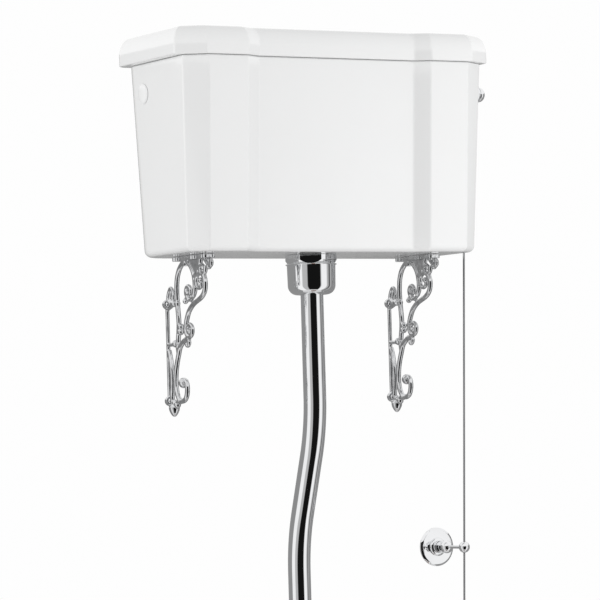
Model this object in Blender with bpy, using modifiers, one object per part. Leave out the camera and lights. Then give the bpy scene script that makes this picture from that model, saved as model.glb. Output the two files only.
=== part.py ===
"""High level toilet: a ceramic cistern high on the wall on cast scroll brackets, and its pan below.

Lengths are in metres. The pieces are set out with +X to the right, +Z up from the floor and the wall
in the plane Y = 0, so a piece's distance from the wall is its reach towards -Y. One empty carries
every piece and puts the middle of the whole object's box over the origin.
"""
import math

import bmesh
import bpy
from mathutils import Matrix, Vector

# Shared fits
TOUCH = 0.0003
RUNNING = 0.0005
OVERRUN = 0.004
THREAD_CLEARANCE = 0.001
WELD = 0.00002

# Cistern
CISTERN_LEVEL = 1.800
TANK_HEIGHT = 0.268
TANK_HALF_WIDTH = 0.2385
TANK_DEPTH = 0.199
TANK_SIDE_DEPTH = 0.179
WING_SETBACK = 0.0315
WING_HALF_WIDTH = TANK_HALF_WIDTH - WING_SETBACK
PANEL_HALF_WIDTH = 0.124
PANEL_STEP_WIDTH = 0.0215
PANEL_RECESS = 0.011
SIDE_TAPER = 0.0085
WING_TAPER = 0.0015
FRONT_TAPER = 0.0165
TANK_WALL = 0.011
TANK_FLOOR = 0.013
TANK_REAR_RADIUS = 0.032
TANK_REAR_RADIUS_BELOW = 0.046
TANK_BOTTOM_RADIUS = 0.009
TANK_INNER_RADIUS = 0.014
CANT_RADIUS = 0.005
STEP_RADIUS = 0.012

# Lid
LID_HEIGHT = 0.0415
LID_SIDE_OVERHANG = 0.012
LID_WING_OVERHANG = 0.0055
LID_FRONT_OVERHANG = 0.003
LID_REAR_RADIUS = 0.015
LID_ROUND_ACROSS = 0.018
LID_ROUND_UP = 0.026
LID_EDGE = 0.002
LID_TOP_THICKNESS = 0.010
LID_LIP_DROP = 0.008
LID_LIP_WALL = 0.009
LID_LIP_CLEARANCE = 0.003
LID_CROWN = 0.0015

# Cistern fixings and blanked side hole
SCREW_SPREAD = 0.100
SCREW_BELOW_RIM = 0.032
SCREW_HEIGHT = TANK_HEIGHT - SCREW_BELOW_RIM
SCREW_RADIUS = 0.003
SCREW_HEAD_RADIUS = 0.0075
SCREW_HEAD_HEIGHT = 0.004
SIDE_CAP_DEPTH = 0.058
SIDE_CAP_RADIUS = 0.014
SIDE_CAP_DOME = 0.005
SIDE_CAP_STEM_RADIUS = 0.0095
SIDE_CAP_NUT_RADIUS = 0.015
SIDE_CAP_NUT_HEIGHT = 0.006

# Outlet, flush valve and cup nut
OUTLET_DEPTH = 0.097
TAIL_RADIUS = 0.0205
TAIL_DROP = 0.030
VALVE_FLANGE_RADIUS = 0.033
VALVE_FLANGE_HEIGHT = 0.004
VALVE_TOWER_RADIUS = 0.025
VALVE_HEADROOM = 0.093
VALVE_TOWER_HEIGHT = TANK_HEIGHT - VALVE_HEADROOM
VALVE_BORE_RADIUS = 0.017
VALVE_CAP_HEIGHT = 0.015
VALVE_WINDOW_WIDTH = 0.018
VALVE_WINDOW_HEIGHT = 0.030
VALVE_SEAL_HEIGHT = 0.003
BUTTON_RADIUS = 0.013
BUTTON_HEAD_HEIGHT = 0.003
BUTTON_SLOPE = 0.36
BUTTON_STEM_RADIUS = 0.0095
BUTTON_STEM_ENTRY = 0.020
NUT_ACROSS_FLATS = 0.0655
NUT_TURN = math.radians(30)
NUT_CORNER_RADIUS = 0.0361
NUT_CHAMFER_RADIUS = 0.0327
NUT_CHAMFER_TOP = 0.0062
NUT_HEX_HEIGHT = 0.0128
NUT_RIM_HEIGHT = 0.0014
NUT_CUP_RADIUS = 0.0342
NUT_CUP_RADIUS_BELOW = 0.0336
NUT_HEIGHT = 0.056
NUT_CUP_ROUND = 0.013
NUT_FLOOR = 0.008
PIPE_SEAL_HEIGHT = 0.010

# Water inlet and float
INLET_FROM_SIDE = 0.0735
INLET_OFFSET = TANK_HALF_WIDTH - INLET_FROM_SIDE
INLET_BELOW_RIM = 0.056
INLET_HEIGHT = TANK_HEIGHT - INLET_BELOW_RIM
INLET_TAIL_RADIUS = 0.007
INLET_BODY_RADIUS = 0.011
INLET_BODY_LENGTH = 0.056
INLET_BORE_RADIUS = 0.004
INLET_NUT_RADIUS = 0.014
INLET_NUT_HEIGHT = 0.006
FLOAT_PIN_RADIUS = 0.0025
FLOAT_PIN_LENGTH = 0.012
FLOAT_HUB_RADIUS = 0.006
FLOAT_HUB_WIDTH = 0.005
FLOAT_ROD_RADIUS = 0.0025
FLOAT_RADIUS = 0.034
FLOAT_REACH = 0.090
FLOAT_DROP_ANGLE = math.radians(40)

# Lever
SPINDLE_DEPTH = 0.155
SPINDLE_BELOW_RIM = 0.042
SPINDLE_HEIGHT = TANK_HEIGHT - SPINDLE_BELOW_RIM
SPINDLE_RADIUS = 0.005
BUSH_FLANGE_RADIUS = 0.017
BUSH_FLANGE_HEIGHT = 0.004
BUSH_THREAD_RADIUS = 0.0105
BUSH_LENGTH = 0.024
BUSH_NUT_RADIUS = 0.0155
BUSH_NUT_HEIGHT = 0.006
CRANK_LENGTH = 0.042
CRANK_THICKNESS = 0.0053
CRANK_HUB_RADIUS = 0.010
CRANK_BOSS_RADIUS = 0.0055
CRANK_PIN_RADIUS = 0.0025
CRANK_PIN_HEAD_RADIUS = 0.004
CRANK_PIN_HEAD_HEIGHT = 0.0016
DOME_RADIUS = 0.0105
DOME_HEIGHT = 0.0098
DOME_RIM = 0.002
LEVER_REST_ANGLE = math.radians(10)
INNER_ARM_THICKNESS = 0.006
INNER_ARM_PAD_RADIUS = 0.006

# Pull rod and handle
EYE_THICKNESS = 0.0044
EYE_RADIUS = 0.0075
EYE_PLAY = 0.0012
EYE_SOCKET_RADIUS = 0.0021
EYE_SOCKET_LENGTH = 0.016
ROD_RADIUS = 0.0015
HANDLE_LEVEL = 1.190
FERRULE_RADIUS = 0.0065
FERRULE_LENGTH = 0.018
HANDLE_RADIUS = 0.0165
HANDLE_LENGTH = 0.092

# Rod guide on the wall
GUIDE_DROP = 0.420
ROSE_RADIUS = 0.028
ROSE_HEIGHT = 0.0035
ROSE_BOSS_RADIUS = 0.0135
ROSE_BOSS_HEIGHT = 0.013
ROSE_SOCKET_RADIUS = 0.0095
ROSE_SOCKET_DEPTH = 0.004
GUIDE_BALL_RADIUS = 0.0092
GUIDE_BALL_DEPTH = 0.029
GUIDE_ARM_RADIUS = 0.0023
GUIDE_EYE_RADIUS = 0.008
GUIDE_EYE_DEPTH = 0.078
GUIDE_HOLE_RADIUS = 0.0018
ROSE_SCREW_OFFSET = 0.0207
ROSE_SCREW_RADIUS = 0.002
ROSE_SCREW_HEAD_RADIUS = 0.0036
ROSE_SCREW_HEAD_HEIGHT = 0.0011

# Brackets
BRACKET_INSET = 0.0575
BRACKET_OFFSET = TANK_HALF_WIDTH - BRACKET_INSET
BRACKET_REACH = 0.145
BRACKET_DROP = 0.226
PLATE_REAR = 0.036
PLATE_FRONT_SHARE = 0.935
PLATE_WIDTH = 0.0118
PLATE_THICKNESS = 0.006
LOBE_RADIUS = 0.0042
LOBE_INSET = 0.0009
COLLAR_HALF_WIDTH = 0.0044
COLLAR_HALF_DEPTH = 0.0046
COLLAR_DROP = 0.0135
STRAND_RADIUS = 0.0034
TENDRIL_RADIUS = 0.0021
BEAD_RADIUS = 0.0042
HOOK_BALL_RADIUS = 0.0060
THINNING_SHARE = 0.010
BAR_WIDTH = 0.0058
BAR_THICKNESS = 0.0058
BAR_TOP_SHARE = 0.265
BAR_FOOT_SHARE = 0.915
PAD_RADIUS = 0.0068
PAD_TOP_SHARE = 0.285
PAD_FOOT_SHARE = 0.885
TIP_RADIUS = 0.0077
TIP_TOP_SHARE = 0.925
TIP_REACH_SHARE = 0.115
BRACKET_SCREW_RADIUS = 0.0020
BRACKET_SCREW_HEAD_RADIUS = 0.0042
BRACKET_SCREW_HEAD_HEIGHT = 0.0028
BRACKET_SCREW_LENGTH = 0.0050

# Where the plate's pairs of side lobes are, as shares of the reach, and where the collar is
LOBE_SHARES = (0.283, 0.337, 0.640, 0.690, 0.860, 0.908)
COLLAR_SHARE = 0.425

# The bracket's strands, seen from the side: rows of (share of the reach, share of the drop)
STRAND_SHARES = {
    "back_arc": (
        (0.42, 0.02), (0.35, 0.07), (0.295, 0.11), (0.255, 0.16), (0.24, 0.22), (0.24, 0.28), (0.25, 0.34),
        (0.26, 0.40), (0.255, 0.45), (0.24, 0.50), (0.23, 0.55), (0.24, 0.59)),
    "front_arc": (
        (0.43, 0.02), (0.50, 0.045), (0.555, 0.075), (0.595, 0.115), (0.615, 0.165), (0.61, 0.215),
        (0.575, 0.25)),
    "main_scroll": (
        (0.82, 0.14), (0.845, 0.18), (0.835, 0.22), (0.795, 0.245), (0.735, 0.265), (0.66, 0.28),
        (0.59, 0.295), (0.53, 0.315), (0.48, 0.34), (0.445, 0.37), (0.415, 0.41), (0.40, 0.46)),
    "stem": (
        (0.465, 0.505), (0.38, 0.515), (0.32, 0.535), (0.27, 0.56), (0.235, 0.605), (0.20, 0.655),
        (0.175, 0.71), (0.165, 0.775), (0.18, 0.83), (0.215, 0.87), (0.265, 0.888), (0.325, 0.888),
        (0.375, 0.868), (0.40, 0.825), (0.39, 0.782), (0.35, 0.762)),
    "strut": ((0.745, 0.015), (0.73, 0.06), (0.68, 0.10), (0.62, 0.13)),
    "tail": (
        (0.035, 0.57), (0.06, 0.61), (0.085, 0.68), (0.095, 0.75), (0.09, 0.82), (0.08, 0.88),
        (0.115, 0.925)),
    "foot": ((0.115, 0.92), (0.17, 0.905), (0.24, 0.885)),
}
TENDRIL_SHARES = {
    "front_curl": ((0.60, 0.23), (0.57, 0.256), (0.52, 0.268), (0.48, 0.264)),
    "inner_leaf": ((0.55, 0.28), (0.48, 0.272), (0.42, 0.275), (0.40, 0.295)),
    "bud_stem": ((0.79, 0.015), (0.86, 0.05), (0.91, 0.08)),
    "finial": (
        (0.035, 0.27), (0.045, 0.235), (0.07, 0.205), (0.105, 0.185), (0.14, 0.20), (0.155, 0.24),
        (0.15, 0.28)),
    "finial_vein": ((0.11, 0.19), (0.105, 0.225), (0.08, 0.27)),
    "link_above": ((0.04, 0.256), (0.11, 0.27), (0.17, 0.285), (0.24, 0.287)),
    "link_below": ((0.04, 0.314), (0.11, 0.302), (0.17, 0.29), (0.24, 0.29)),
    "middle_link": ((0.035, 0.537), (0.235, 0.537)),
}
# The curls: (share of the reach, share of the drop, first and last radius as shares of the reach, the
# share of a turn at which it starts and how many turns it makes)
CURL_SHARES = {
    "inner_curl": (0.480, 0.225, 0.057, 0.018, 0.75, -1.20),
    "arch_curl": (0.717, 0.175, 0.103, 0.031, 0.00, 1.10),
    "upper_bud": (0.945, 0.060, 0.040, 0.018, 0.60, 0.75),
    "lower_bud": (0.830, 0.097, 0.066, 0.019, 0.05, -1.00),
    "knot_curl": (0.480, 0.460, 0.079, 0.026, 0.50, 1.30),
    "leaf_curl": (0.437, 0.535, 0.034, 0.018, 0.30, -0.60),
}
BEAD_SHARES = ((0.110, 0.285), (0.172, 0.290), (0.170, 0.537), (0.298, 0.430), (0.292, 0.462))
HOOK_BALL_SHARES = (0.325, 0.778)

# Flush pipe
PIPE_RADIUS = 0.016
PIPE_WALL = 0.0015
PIPE_TOP_GAP = 0.003
PIPE_WALL_DEPTH = 0.038
PIPE_SET_BACK = OUTLET_DEPTH - PIPE_WALL_DEPTH
PIPE_BEND_DROP = 0.200
PIPE_BEND_RADIUS = 0.240
PIPE_BEND_SHARE = 0.5
PIPE_BEND_ANGLE = math.acos(1 - PIPE_BEND_SHARE * PIPE_SET_BACK / (2 * PIPE_BEND_RADIUS))
PIPE_JOINT_LEVEL = 0.950
PIPE_ELBOW_RADIUS = 0.050
COUPLING_RADIUS = 0.0225
COUPLING_LENGTH = 0.050
CLIP_LEVEL = 1.180
CLIP_HEIGHT = 0.014
CLIP_WALL = 0.004
CLIP_STEM_RADIUS = 0.004
CLIP_BASE_RADIUS = 0.016
CLIP_BASE_HEIGHT = 0.004

# Pan
PAN_HEIGHT = 0.400
PAN_REAR = 0.125
PAN_FRONT = 0.600
PAN_HALF_WIDTH = 0.1825
PAN_SHELF_HALF_WIDTH = 0.100
PAN_FOOT_REAR = 0.150
PAN_FOOT_FRONT = 0.470
PAN_FOOT_HALF_WIDTH = 0.115
PAN_FOOT_FLANGE = 0.022
PAN_FOOT_NARROWING = 0.020
PAN_REAR_CORNER_RADIUS = 0.020
PAN_SHOULDER_SHARE = 0.36
PAN_SIDE_ROUND_SHARE = 0.70
PAN_FRONT_ROUND_SHARE = 0.97
PAN_FLANGE_HEIGHT = 0.018
PAN_RIM_WIDTH = 0.042
PAN_RIM_BAND = 0.040
PAN_BOWL_REAR = 0.235
PAN_BOWL_FLOOR = 0.125
PAN_HOLLOW_WALL = 0.016
PAN_HOLLOW_HEIGHT = 0.080
TRAP_RADIUS = 0.036
OUTLET_HORN_RADIUS = 0.051
OUTLET_HORN_LEVEL = 0.185
OUTLET_HORN_DEPTH = 0.085
FLUSH_INLET_LEVEL = 0.345
FLUSH_INLET_RADIUS = 0.021
FLOOR_SCREW_DEPTH = 0.310
FLOOR_SCREW_RADIUS = 0.003
FLOOR_SCREW_HEAD_RADIUS = 0.007
FLOOR_SCREW_HEAD_HEIGHT = 0.006
CONE_FLANGE_RADIUS = 0.028
CONE_FLANGE_LENGTH = 0.014
CONE_PLUG_LENGTH = 0.016

# The pan's outside from floor to rim: (height share, waist share), where waist 0 is the foot's plan
# without its flange and 1 is the rim's plan
PAN_PROFILE_SHARES = ((0.10, 0.00), (0.28, -0.02), (0.45, 0.10), (0.60, 0.32), (0.72, 0.58), (0.82, 0.84))
# The bowl's inside from the rim down: (depth share, closing share)
BOWL_PROFILE_SHARES = ((0.00, 0.00), (0.15, 0.03), (0.35, 0.15), (0.55, 0.35), (0.78, 0.61), (1.00, 0.86))

# Seat
SEAT_WIDTH_SHARE = 1.02
SEAT_RING_WIDTH = 0.070
SEAT_THICKNESS = 0.018
SEAT_ROUND = 0.006
SEAT_FRONT_OVERHANG = 0.004
BUFFER_HEIGHT = 0.008
BUFFER_RADIUS = 0.008
HINGE_DEPTH = 0.172
HINGE_SPREAD = 0.078
HINGE_HEIGHT = 0.018
HINGE_BAR_RADIUS = 0.0045
HINGE_KNUCKLE_RADIUS = 0.0095
HINGE_KNUCKLE_LENGTH = 0.030
HINGE_KNUCKLE_OFFSET = 0.046
HINGE_POST_RADIUS = 0.008
HINGE_FOOT_RADIUS = 0.014
HINGE_FOOT_HEIGHT = 0.003
HINGE_BOLT_RADIUS = 0.004
HINGE_BOLT_LENGTH = 0.022
LEAF_THICKNESS = 0.003
LEAF_LENGTH = 0.055
LEAF_WIDTH = 0.028
SEAT_REAR_GAP = 0.014

# How finely round shapes are divided
SMALL_STEPS = 12
SCREW_STEPS = 10
BEAD_STEPS = 8
CURL_STEPS = 8
RING_STEPS = 16
VALVE_STEPS = 18
ROUND_STEPS = 24
NUT_STEPS = 30
CORNER_STEPS = 4
TANK_CORNER_STEPS = (4, 2, 2, 3, 3, 3, 3, 2, 2, 4)
EDGE_STEPS = 4
HEAD_STEPS = 3
LID_STEPS = 6
PIPE_ROUNDING = 4
SMOOTH_ANGLE = math.radians(38)

FINISHES = {
    "ceramic": ((0.93, 0.93, 0.92), 0.12, 0.0),
    "chrome": ((0.80, 0.80, 0.81), 0.08, 1.0),
    "brass": ((0.72, 0.55, 0.28), 0.30, 1.0),
    "plastic": ((0.88, 0.88, 0.87), 0.40, 0.0),
    "rubber": ((0.06, 0.06, 0.06), 0.80, 0.0),
    "white_rubber": ((0.86, 0.86, 0.84), 0.60, 0.0),
    "wood": ((0.20, 0.07, 0.03), 0.35, 0.0),
}


# Helpers for outlines

def offset_outline(corners, inset):
    """Moves every side of a counterclockwise outline inwards by the inset, with mitred corners."""
    moved = []
    for index, corner in enumerate(corners):
        before = (corner - corners[index - 1]).normalized()
        after = (corners[(index + 1) % len(corners)] - corner).normalized()
        first = Vector((-before.y, before.x))
        second = Vector((-after.y, after.x))
        moved.append(corner + (first + second) * inset / (1 + first.dot(second)))
    return moved


def rounded_outline(corners, radii, inset=0.0, steps=None):
    """Fillets an inset outline; a fillet is limited by the sides that it joins."""
    steps = steps or [CORNER_STEPS] * len(corners)
    corners = offset_outline(corners, inset)
    outline = []
    for index, corner in enumerate(corners):
        back = corners[index - 1] - corner
        ahead = corners[(index + 1) % len(corners)] - corner
        convex = ahead.x * back.y - ahead.y * back.x > 0
        radius = max(radii[index] - inset, TOUCH) if convex else radii[index] + inset
        half = back.angle(ahead) / 2
        tangent = min(radius / math.tan(half), back.length * 0.48, ahead.length * 0.48)
        start = corner + back.normalized() * tangent
        end = corner + ahead.normalized() * tangent
        reach = tangent / math.cos(half)
        centre = corner + (back.normalized() + ahead.normalized()).normalized() * reach
        turn = (start - centre).angle_signed(end - centre)
        for step in range(steps[index] + 1):
            arm = start - centre
            arm.rotate(Matrix.Rotation(-turn * step / steps[index], 2))
            outline.append(centre + arm)
    return outline


def mirrored_corners(right_half):
    """A counterclockwise outline from (half width, depth) corners, rear first."""
    left = [Vector((-across, -depth)) for across, depth in right_half]
    right = [Vector((across, -depth)) for across, depth in reversed(right_half)]
    return left + right


def mirrored_radii(right_half):
    return list(right_half) + list(reversed(right_half))


def link_outline(hub_radius, boss_radius, length):
    """Two circles joined by their outer tangents, the second one along +X."""
    lean = math.asin((hub_radius - boss_radius) / length)
    outline = []
    for centre, radius, first, last in (
            (0.0, hub_radius, math.pi / 2 - lean, 3 * math.pi / 2 + lean),
            (length, boss_radius, -math.pi / 2 + lean, math.pi / 2 - lean)):
        for step in range(SMALL_STEPS + 1):
            angle = first + (last - first) * step / SMALL_STEPS
            outline.append((centre + radius * math.cos(angle), radius * math.sin(angle)))
    return outline


# Helpers for solids

def link_object(name, data):
    shape = bpy.data.objects.new(name, data)
    bpy.context.scene.collection.objects.link(shape)
    return shape


def bake(shape):
    """Replaces an object's mesh by the mesh that its modifiers give."""
    bpy.context.view_layer.update()
    evaluated = shape.evaluated_get(bpy.context.evaluated_depsgraph_get())
    mesh = bpy.data.meshes.new_from_object(evaluated)
    shape.modifiers.clear()
    shape.data = mesh
    return shape


def combine(shape, tool, operation):
    """Joins or cuts a solid with another one, which is used up, and welds the slivers left by it."""
    boolean = shape.modifiers.new(operation.title(), "BOOLEAN")
    boolean.operation = operation
    boolean.object = tool
    bake(shape)
    bpy.data.objects.remove(tool)
    mesh = bmesh.new()
    mesh.from_mesh(shape.data)
    bmesh.ops.remove_doubles(mesh, verts=mesh.verts, dist=WELD)
    bmesh.ops.dissolve_degenerate(mesh, edges=mesh.edges, dist=WELD)
    mesh.to_mesh(shape.data)
    mesh.free()
    return shape


def cut(shape, *tools):
    for tool in tools:
        combine(shape, tool, "DIFFERENCE")
    return shape


def join(shape, *tools):
    for tool in tools:
        combine(shape, tool, "UNION")
    return shape


def move(shape, matrix):
    """Moves a solid's mesh, so that its object stays at the common origin."""
    shape.data.transform(matrix)
    return shape


def loft(name, rings, closed=False):
    """A solid through rings of equally many points; closed joins the last ring to the first."""
    mesh = bmesh.new()
    levels = [[mesh.verts.new(point) for point in ring] for ring in rings]
    pairs = list(zip(levels, levels[1:]))
    if closed:
        pairs.append((levels[-1], levels[0]))
    else:
        mesh.faces.new(reversed(levels[0]))
        mesh.faces.new(levels[-1])
    for low, high in pairs:
        for index in range(len(low)):
            following = (index + 1) % len(low)
            mesh.faces.new((low[index], low[following], high[following], high[index]))
    bmesh.ops.recalc_face_normals(mesh, faces=mesh.faces)
    data = bpy.data.meshes.new(name)
    mesh.to_mesh(data)
    mesh.free()
    return link_object(name, data)


def ring_at(outline, height):
    return [Vector((point.x, point.y, height)) for point in outline]


def cylinder(name, radius, start, end, steps=ROUND_STEPS):
    """A cylinder between two points."""
    mesh = bmesh.new()
    start = Vector(start)
    along = Vector(end) - start
    turn = Vector((0, 0, 1)).rotation_difference(along).to_matrix().to_4x4()
    centre = Matrix.Translation(start + along / 2)
    bmesh.ops.create_cone(mesh, cap_ends=True, segments=steps, radius1=radius, radius2=radius,
                          depth=along.length, matrix=centre @ turn)
    data = bpy.data.meshes.new(name)
    mesh.to_mesh(data)
    mesh.free()
    return link_object(name, data)


def ball(name, radius, centre, steps=ROUND_STEPS):
    mesh = bmesh.new()
    bmesh.ops.create_uvsphere(mesh, u_segments=steps, v_segments=steps // 2, radius=radius,
                              matrix=Matrix.Translation(centre))
    data = bpy.data.meshes.new(name)
    mesh.to_mesh(data)
    mesh.free()
    return link_object(name, data)


def block(name, low, high):
    """A box between two corners."""
    low, high = Vector(low), Vector(high)
    mesh = bmesh.new()
    stretch = Matrix.Diagonal((*(high - low), 1))
    bmesh.ops.create_cube(mesh, size=1.0, matrix=Matrix.Translation((low + high) / 2) @ stretch)
    data = bpy.data.meshes.new(name)
    mesh.to_mesh(data)
    mesh.free()
    return link_object(name, data)


def turned(name, profile, centre, axis=(0, 0, 1), hollow=False, steps=ROUND_STEPS):
    """A solid of revolution; the (radius, height) profile runs down its outside, top to bottom."""
    mesh = bmesh.new()
    points = [mesh.verts.new((radius, 0, height)) for radius, height in profile]
    for upper, lower in zip(points, points[1:]):
        mesh.edges.new((upper, lower))
    if hollow:
        mesh.edges.new((points[-1], points[0]))
    data = bpy.data.meshes.new(name)
    mesh.to_mesh(data)
    mesh.free()
    shape = link_object(name, data)
    screw = shape.modifiers.new("Screw", "SCREW")
    screw.steps = steps
    screw.render_steps = steps
    screw.use_merge_vertices = True
    screw.merge_threshold = 0.00001
    bake(shape)
    turn = Vector((0, 0, 1)).rotation_difference(Vector(axis)).to_matrix().to_4x4()
    return move(shape, Matrix.Translation(centre) @ turn)


def mesh_of_curve(shape):
    """Turns a curve object into a welded mesh object in the same place."""
    bpy.context.view_layer.update()
    evaluated = shape.evaluated_get(bpy.context.evaluated_depsgraph_get())
    data = bpy.data.meshes.new_from_object(evaluated)
    mesh = bmesh.new()
    mesh.from_mesh(data)
    bmesh.ops.remove_doubles(mesh, verts=mesh.verts, dist=0.00001)
    bmesh.ops.recalc_face_normals(mesh, faces=mesh.faces)
    mesh.to_mesh(data)
    mesh.free()
    solid = link_object(shape.name, data)
    solid.matrix_world = shape.matrix_world
    bpy.data.objects.remove(shape)
    return solid


def tube(name, points, radius, rounding=2, capped=True):
    """A round bar along straight runs between the points; rounding 2 gives 8 sides."""
    curve = bpy.data.curves.new(name, "CURVE")
    curve.dimensions = "3D"
    curve.bevel_depth = radius
    curve.bevel_resolution = rounding
    curve.use_fill_caps = capped
    spline = curve.splines.new("POLY")
    spline.points.add(len(points) - 1)
    for place, point in zip(spline.points, points):
        place.co = (*point, 1)
    return mesh_of_curve(link_object(name, curve))


def plate(name, outline, thickness):
    """A flat plate in the XY plane from an outline, its thickness centred on Z = 0."""
    curve = bpy.data.curves.new(name, "CURVE")
    curve.dimensions = "2D"
    curve.fill_mode = "BOTH"
    curve.extrude = thickness / 2
    spline = curve.splines.new("POLY")
    spline.points.add(len(outline) - 1)
    for place, (across, along) in zip(spline.points, outline):
        place.co = (across, along, 0, 1)
    spline.use_cyclic_u = True
    return mesh_of_curve(link_object(name, curve))


def smooth_route(points, count):
    """Points along a smooth curve through the given points, with count steps between neighbours."""
    route = []
    last = len(points) - 1
    for index in range(last):
        before = points[max(index - 1, 0)]
        start, end = points[index], points[index + 1]
        after = points[min(index + 2, last)]
        for step in range(count):
            share = step / count
            route.append(0.5 * (2 * start + (end - before) * share
                                + (2 * before - 5 * start + 4 * end - after) * share ** 2
                                + (3 * start - before - 3 * end + after) * share ** 3))
    route.append(points[last])
    return route


def material_for(name, finish):
    colour, roughness, metallic = FINISHES[finish]
    material = bpy.data.materials.new(name + "_" + finish)
    material.use_nodes = True
    shader = material.node_tree.nodes["Principled BSDF"]
    shader.inputs["Base Color"].default_value = (*colour, 1)
    shader.inputs["Roughness"].default_value = roughness
    shader.inputs["Metallic"].default_value = metallic
    material.diffuse_color = (*colour, 1)
    return material


class Assembly:
    """The collection of named pieces, all carried by one empty."""

    def __init__(self, name, place):
        self.collection = bpy.data.collections.new(name)
        bpy.context.scene.collection.children.link(self.collection)
        self.frame = bpy.data.objects.new(name + "_frame", None)
        self.frame.location = place
        self.collection.objects.link(self.frame)

    def add(self, shape, name, finish, origin=(0, 0, 0)):
        """Names a finished solid and gives it its material and its origin."""
        shape.name = name
        shape.data.name = name
        shape.data.transform(Matrix.Translation(-Vector(origin)))
        shape.location = origin
        shape.parent = self.frame
        shape.data.materials.clear()
        shape.data.materials.append(material_for(name, finish))
        shape.data.shade_smooth()
        shape.data.set_sharp_from_angle(angle=SMOOTH_ANGLE)
        bpy.context.scene.collection.objects.unlink(shape)
        self.collection.objects.link(shape)
        return shape


# Cistern

def tank_half_width(height):
    return TANK_HALF_WIDTH - SIDE_TAPER * (1 - height / TANK_HEIGHT)


def tank_ring(height, inset=0.0):
    """The tank's outline at a height above its bottom, moved inwards by the inset."""
    below = 1 - height / TANK_HEIGHT
    front = TANK_DEPTH - FRONT_TAPER * below
    corners = mirrored_corners((
        (tank_half_width(height), 0.0),
        (tank_half_width(height), TANK_SIDE_DEPTH - FRONT_TAPER * below),
        (WING_HALF_WIDTH - WING_TAPER * below, front),
        (PANEL_HALF_WIDTH + PANEL_STEP_WIDTH, front),
        (PANEL_HALF_WIDTH, front - PANEL_RECESS)))
    rear = TANK_REAR_RADIUS + (TANK_REAR_RADIUS_BELOW - TANK_REAR_RADIUS) * below
    radii = mirrored_radii((rear, CANT_RADIUS, CANT_RADIUS, STEP_RADIUS, STEP_RADIUS))
    return ring_at(rounded_outline(corners, radii, inset, TANK_CORNER_STEPS), CISTERN_LEVEL + height)


def rounded_start(radius, height, inset):
    """Heights and insets of a rounded bottom edge."""
    for step in range(EDGE_STEPS + 1):
        angle = math.pi / 2 * step / EDGE_STEPS
        yield height + radius * (1 - math.cos(angle)), inset + radius * (1 - math.sin(angle))


def make_tank():
    outside = [tank_ring(*edge) for edge in rounded_start(TANK_BOTTOM_RADIUS, 0.0, 0.0)]
    outside.append(tank_ring(TANK_HEIGHT))
    inside = [tank_ring(*edge) for edge in rounded_start(TANK_INNER_RADIUS, TANK_FLOOR, TANK_WALL)]
    inside.append(tank_ring(TANK_HEIGHT + OVERRUN, TANK_WALL))
    tank = cut(loft("tank", outside), loft("tank_inside", inside))
    far = TANK_HALF_WIDTH + OVERRUN
    near = tank_half_width(0.0) - TANK_WALL - TANK_INNER_RADIUS
    spindle = CISTERN_LEVEL + SPINDLE_HEIGHT
    inlet = CISTERN_LEVEL + INLET_HEIGHT
    back = -TANK_WALL - OVERRUN
    cut(tank,
        cylinder("outlet", TAIL_RADIUS + THREAD_CLEARANCE, (0, -OUTLET_DEPTH, CISTERN_LEVEL - OVERRUN),
                 (0, -OUTLET_DEPTH, CISTERN_LEVEL + TANK_FLOOR + OVERRUN)),
        cylinder("spindle_hole", BUSH_THREAD_RADIUS + THREAD_CLEARANCE, (near, -SPINDLE_DEPTH, spindle),
                 (far, -SPINDLE_DEPTH, spindle)),
        cylinder("side_hole", SIDE_CAP_STEM_RADIUS + THREAD_CLEARANCE, (-near, -SIDE_CAP_DEPTH, spindle),
                 (-far, -SIDE_CAP_DEPTH, spindle)),
        cylinder("inlet_hole", INLET_TAIL_RADIUS + TOUCH, (-INLET_OFFSET, OVERRUN, inlet),
                 (-INLET_OFFSET, back, inlet)))
    for side in (-1, 1):
        screw = (side * SCREW_SPREAD, CISTERN_LEVEL + SCREW_HEIGHT)
        cut(tank, cylinder("screw_hole", SCREW_RADIUS + THREAD_CLEARANCE, (screw[0], OVERRUN, screw[1]),
                           (screw[0], back, screw[1]), SMALL_STEPS))
    return tank


def lid_ring(height, inset=0.0):
    corners = mirrored_corners((
        (TANK_HALF_WIDTH + LID_SIDE_OVERHANG, 0.0),
        (TANK_HALF_WIDTH + LID_SIDE_OVERHANG, TANK_SIDE_DEPTH),
        (WING_HALF_WIDTH + LID_WING_OVERHANG, TANK_DEPTH + LID_FRONT_OVERHANG),
        (PANEL_HALF_WIDTH + PANEL_STEP_WIDTH, TANK_DEPTH + LID_FRONT_OVERHANG),
        (PANEL_HALF_WIDTH, TANK_DEPTH + LID_FRONT_OVERHANG - PANEL_RECESS)))
    radii = mirrored_radii((LID_REAR_RADIUS, CANT_RADIUS, CANT_RADIUS, STEP_RADIUS, STEP_RADIUS))
    outline = rounded_outline(corners, radii, inset, TANK_CORNER_STEPS)
    return ring_at(outline, CISTERN_LEVEL + TANK_HEIGHT + TOUCH + height)


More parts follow.
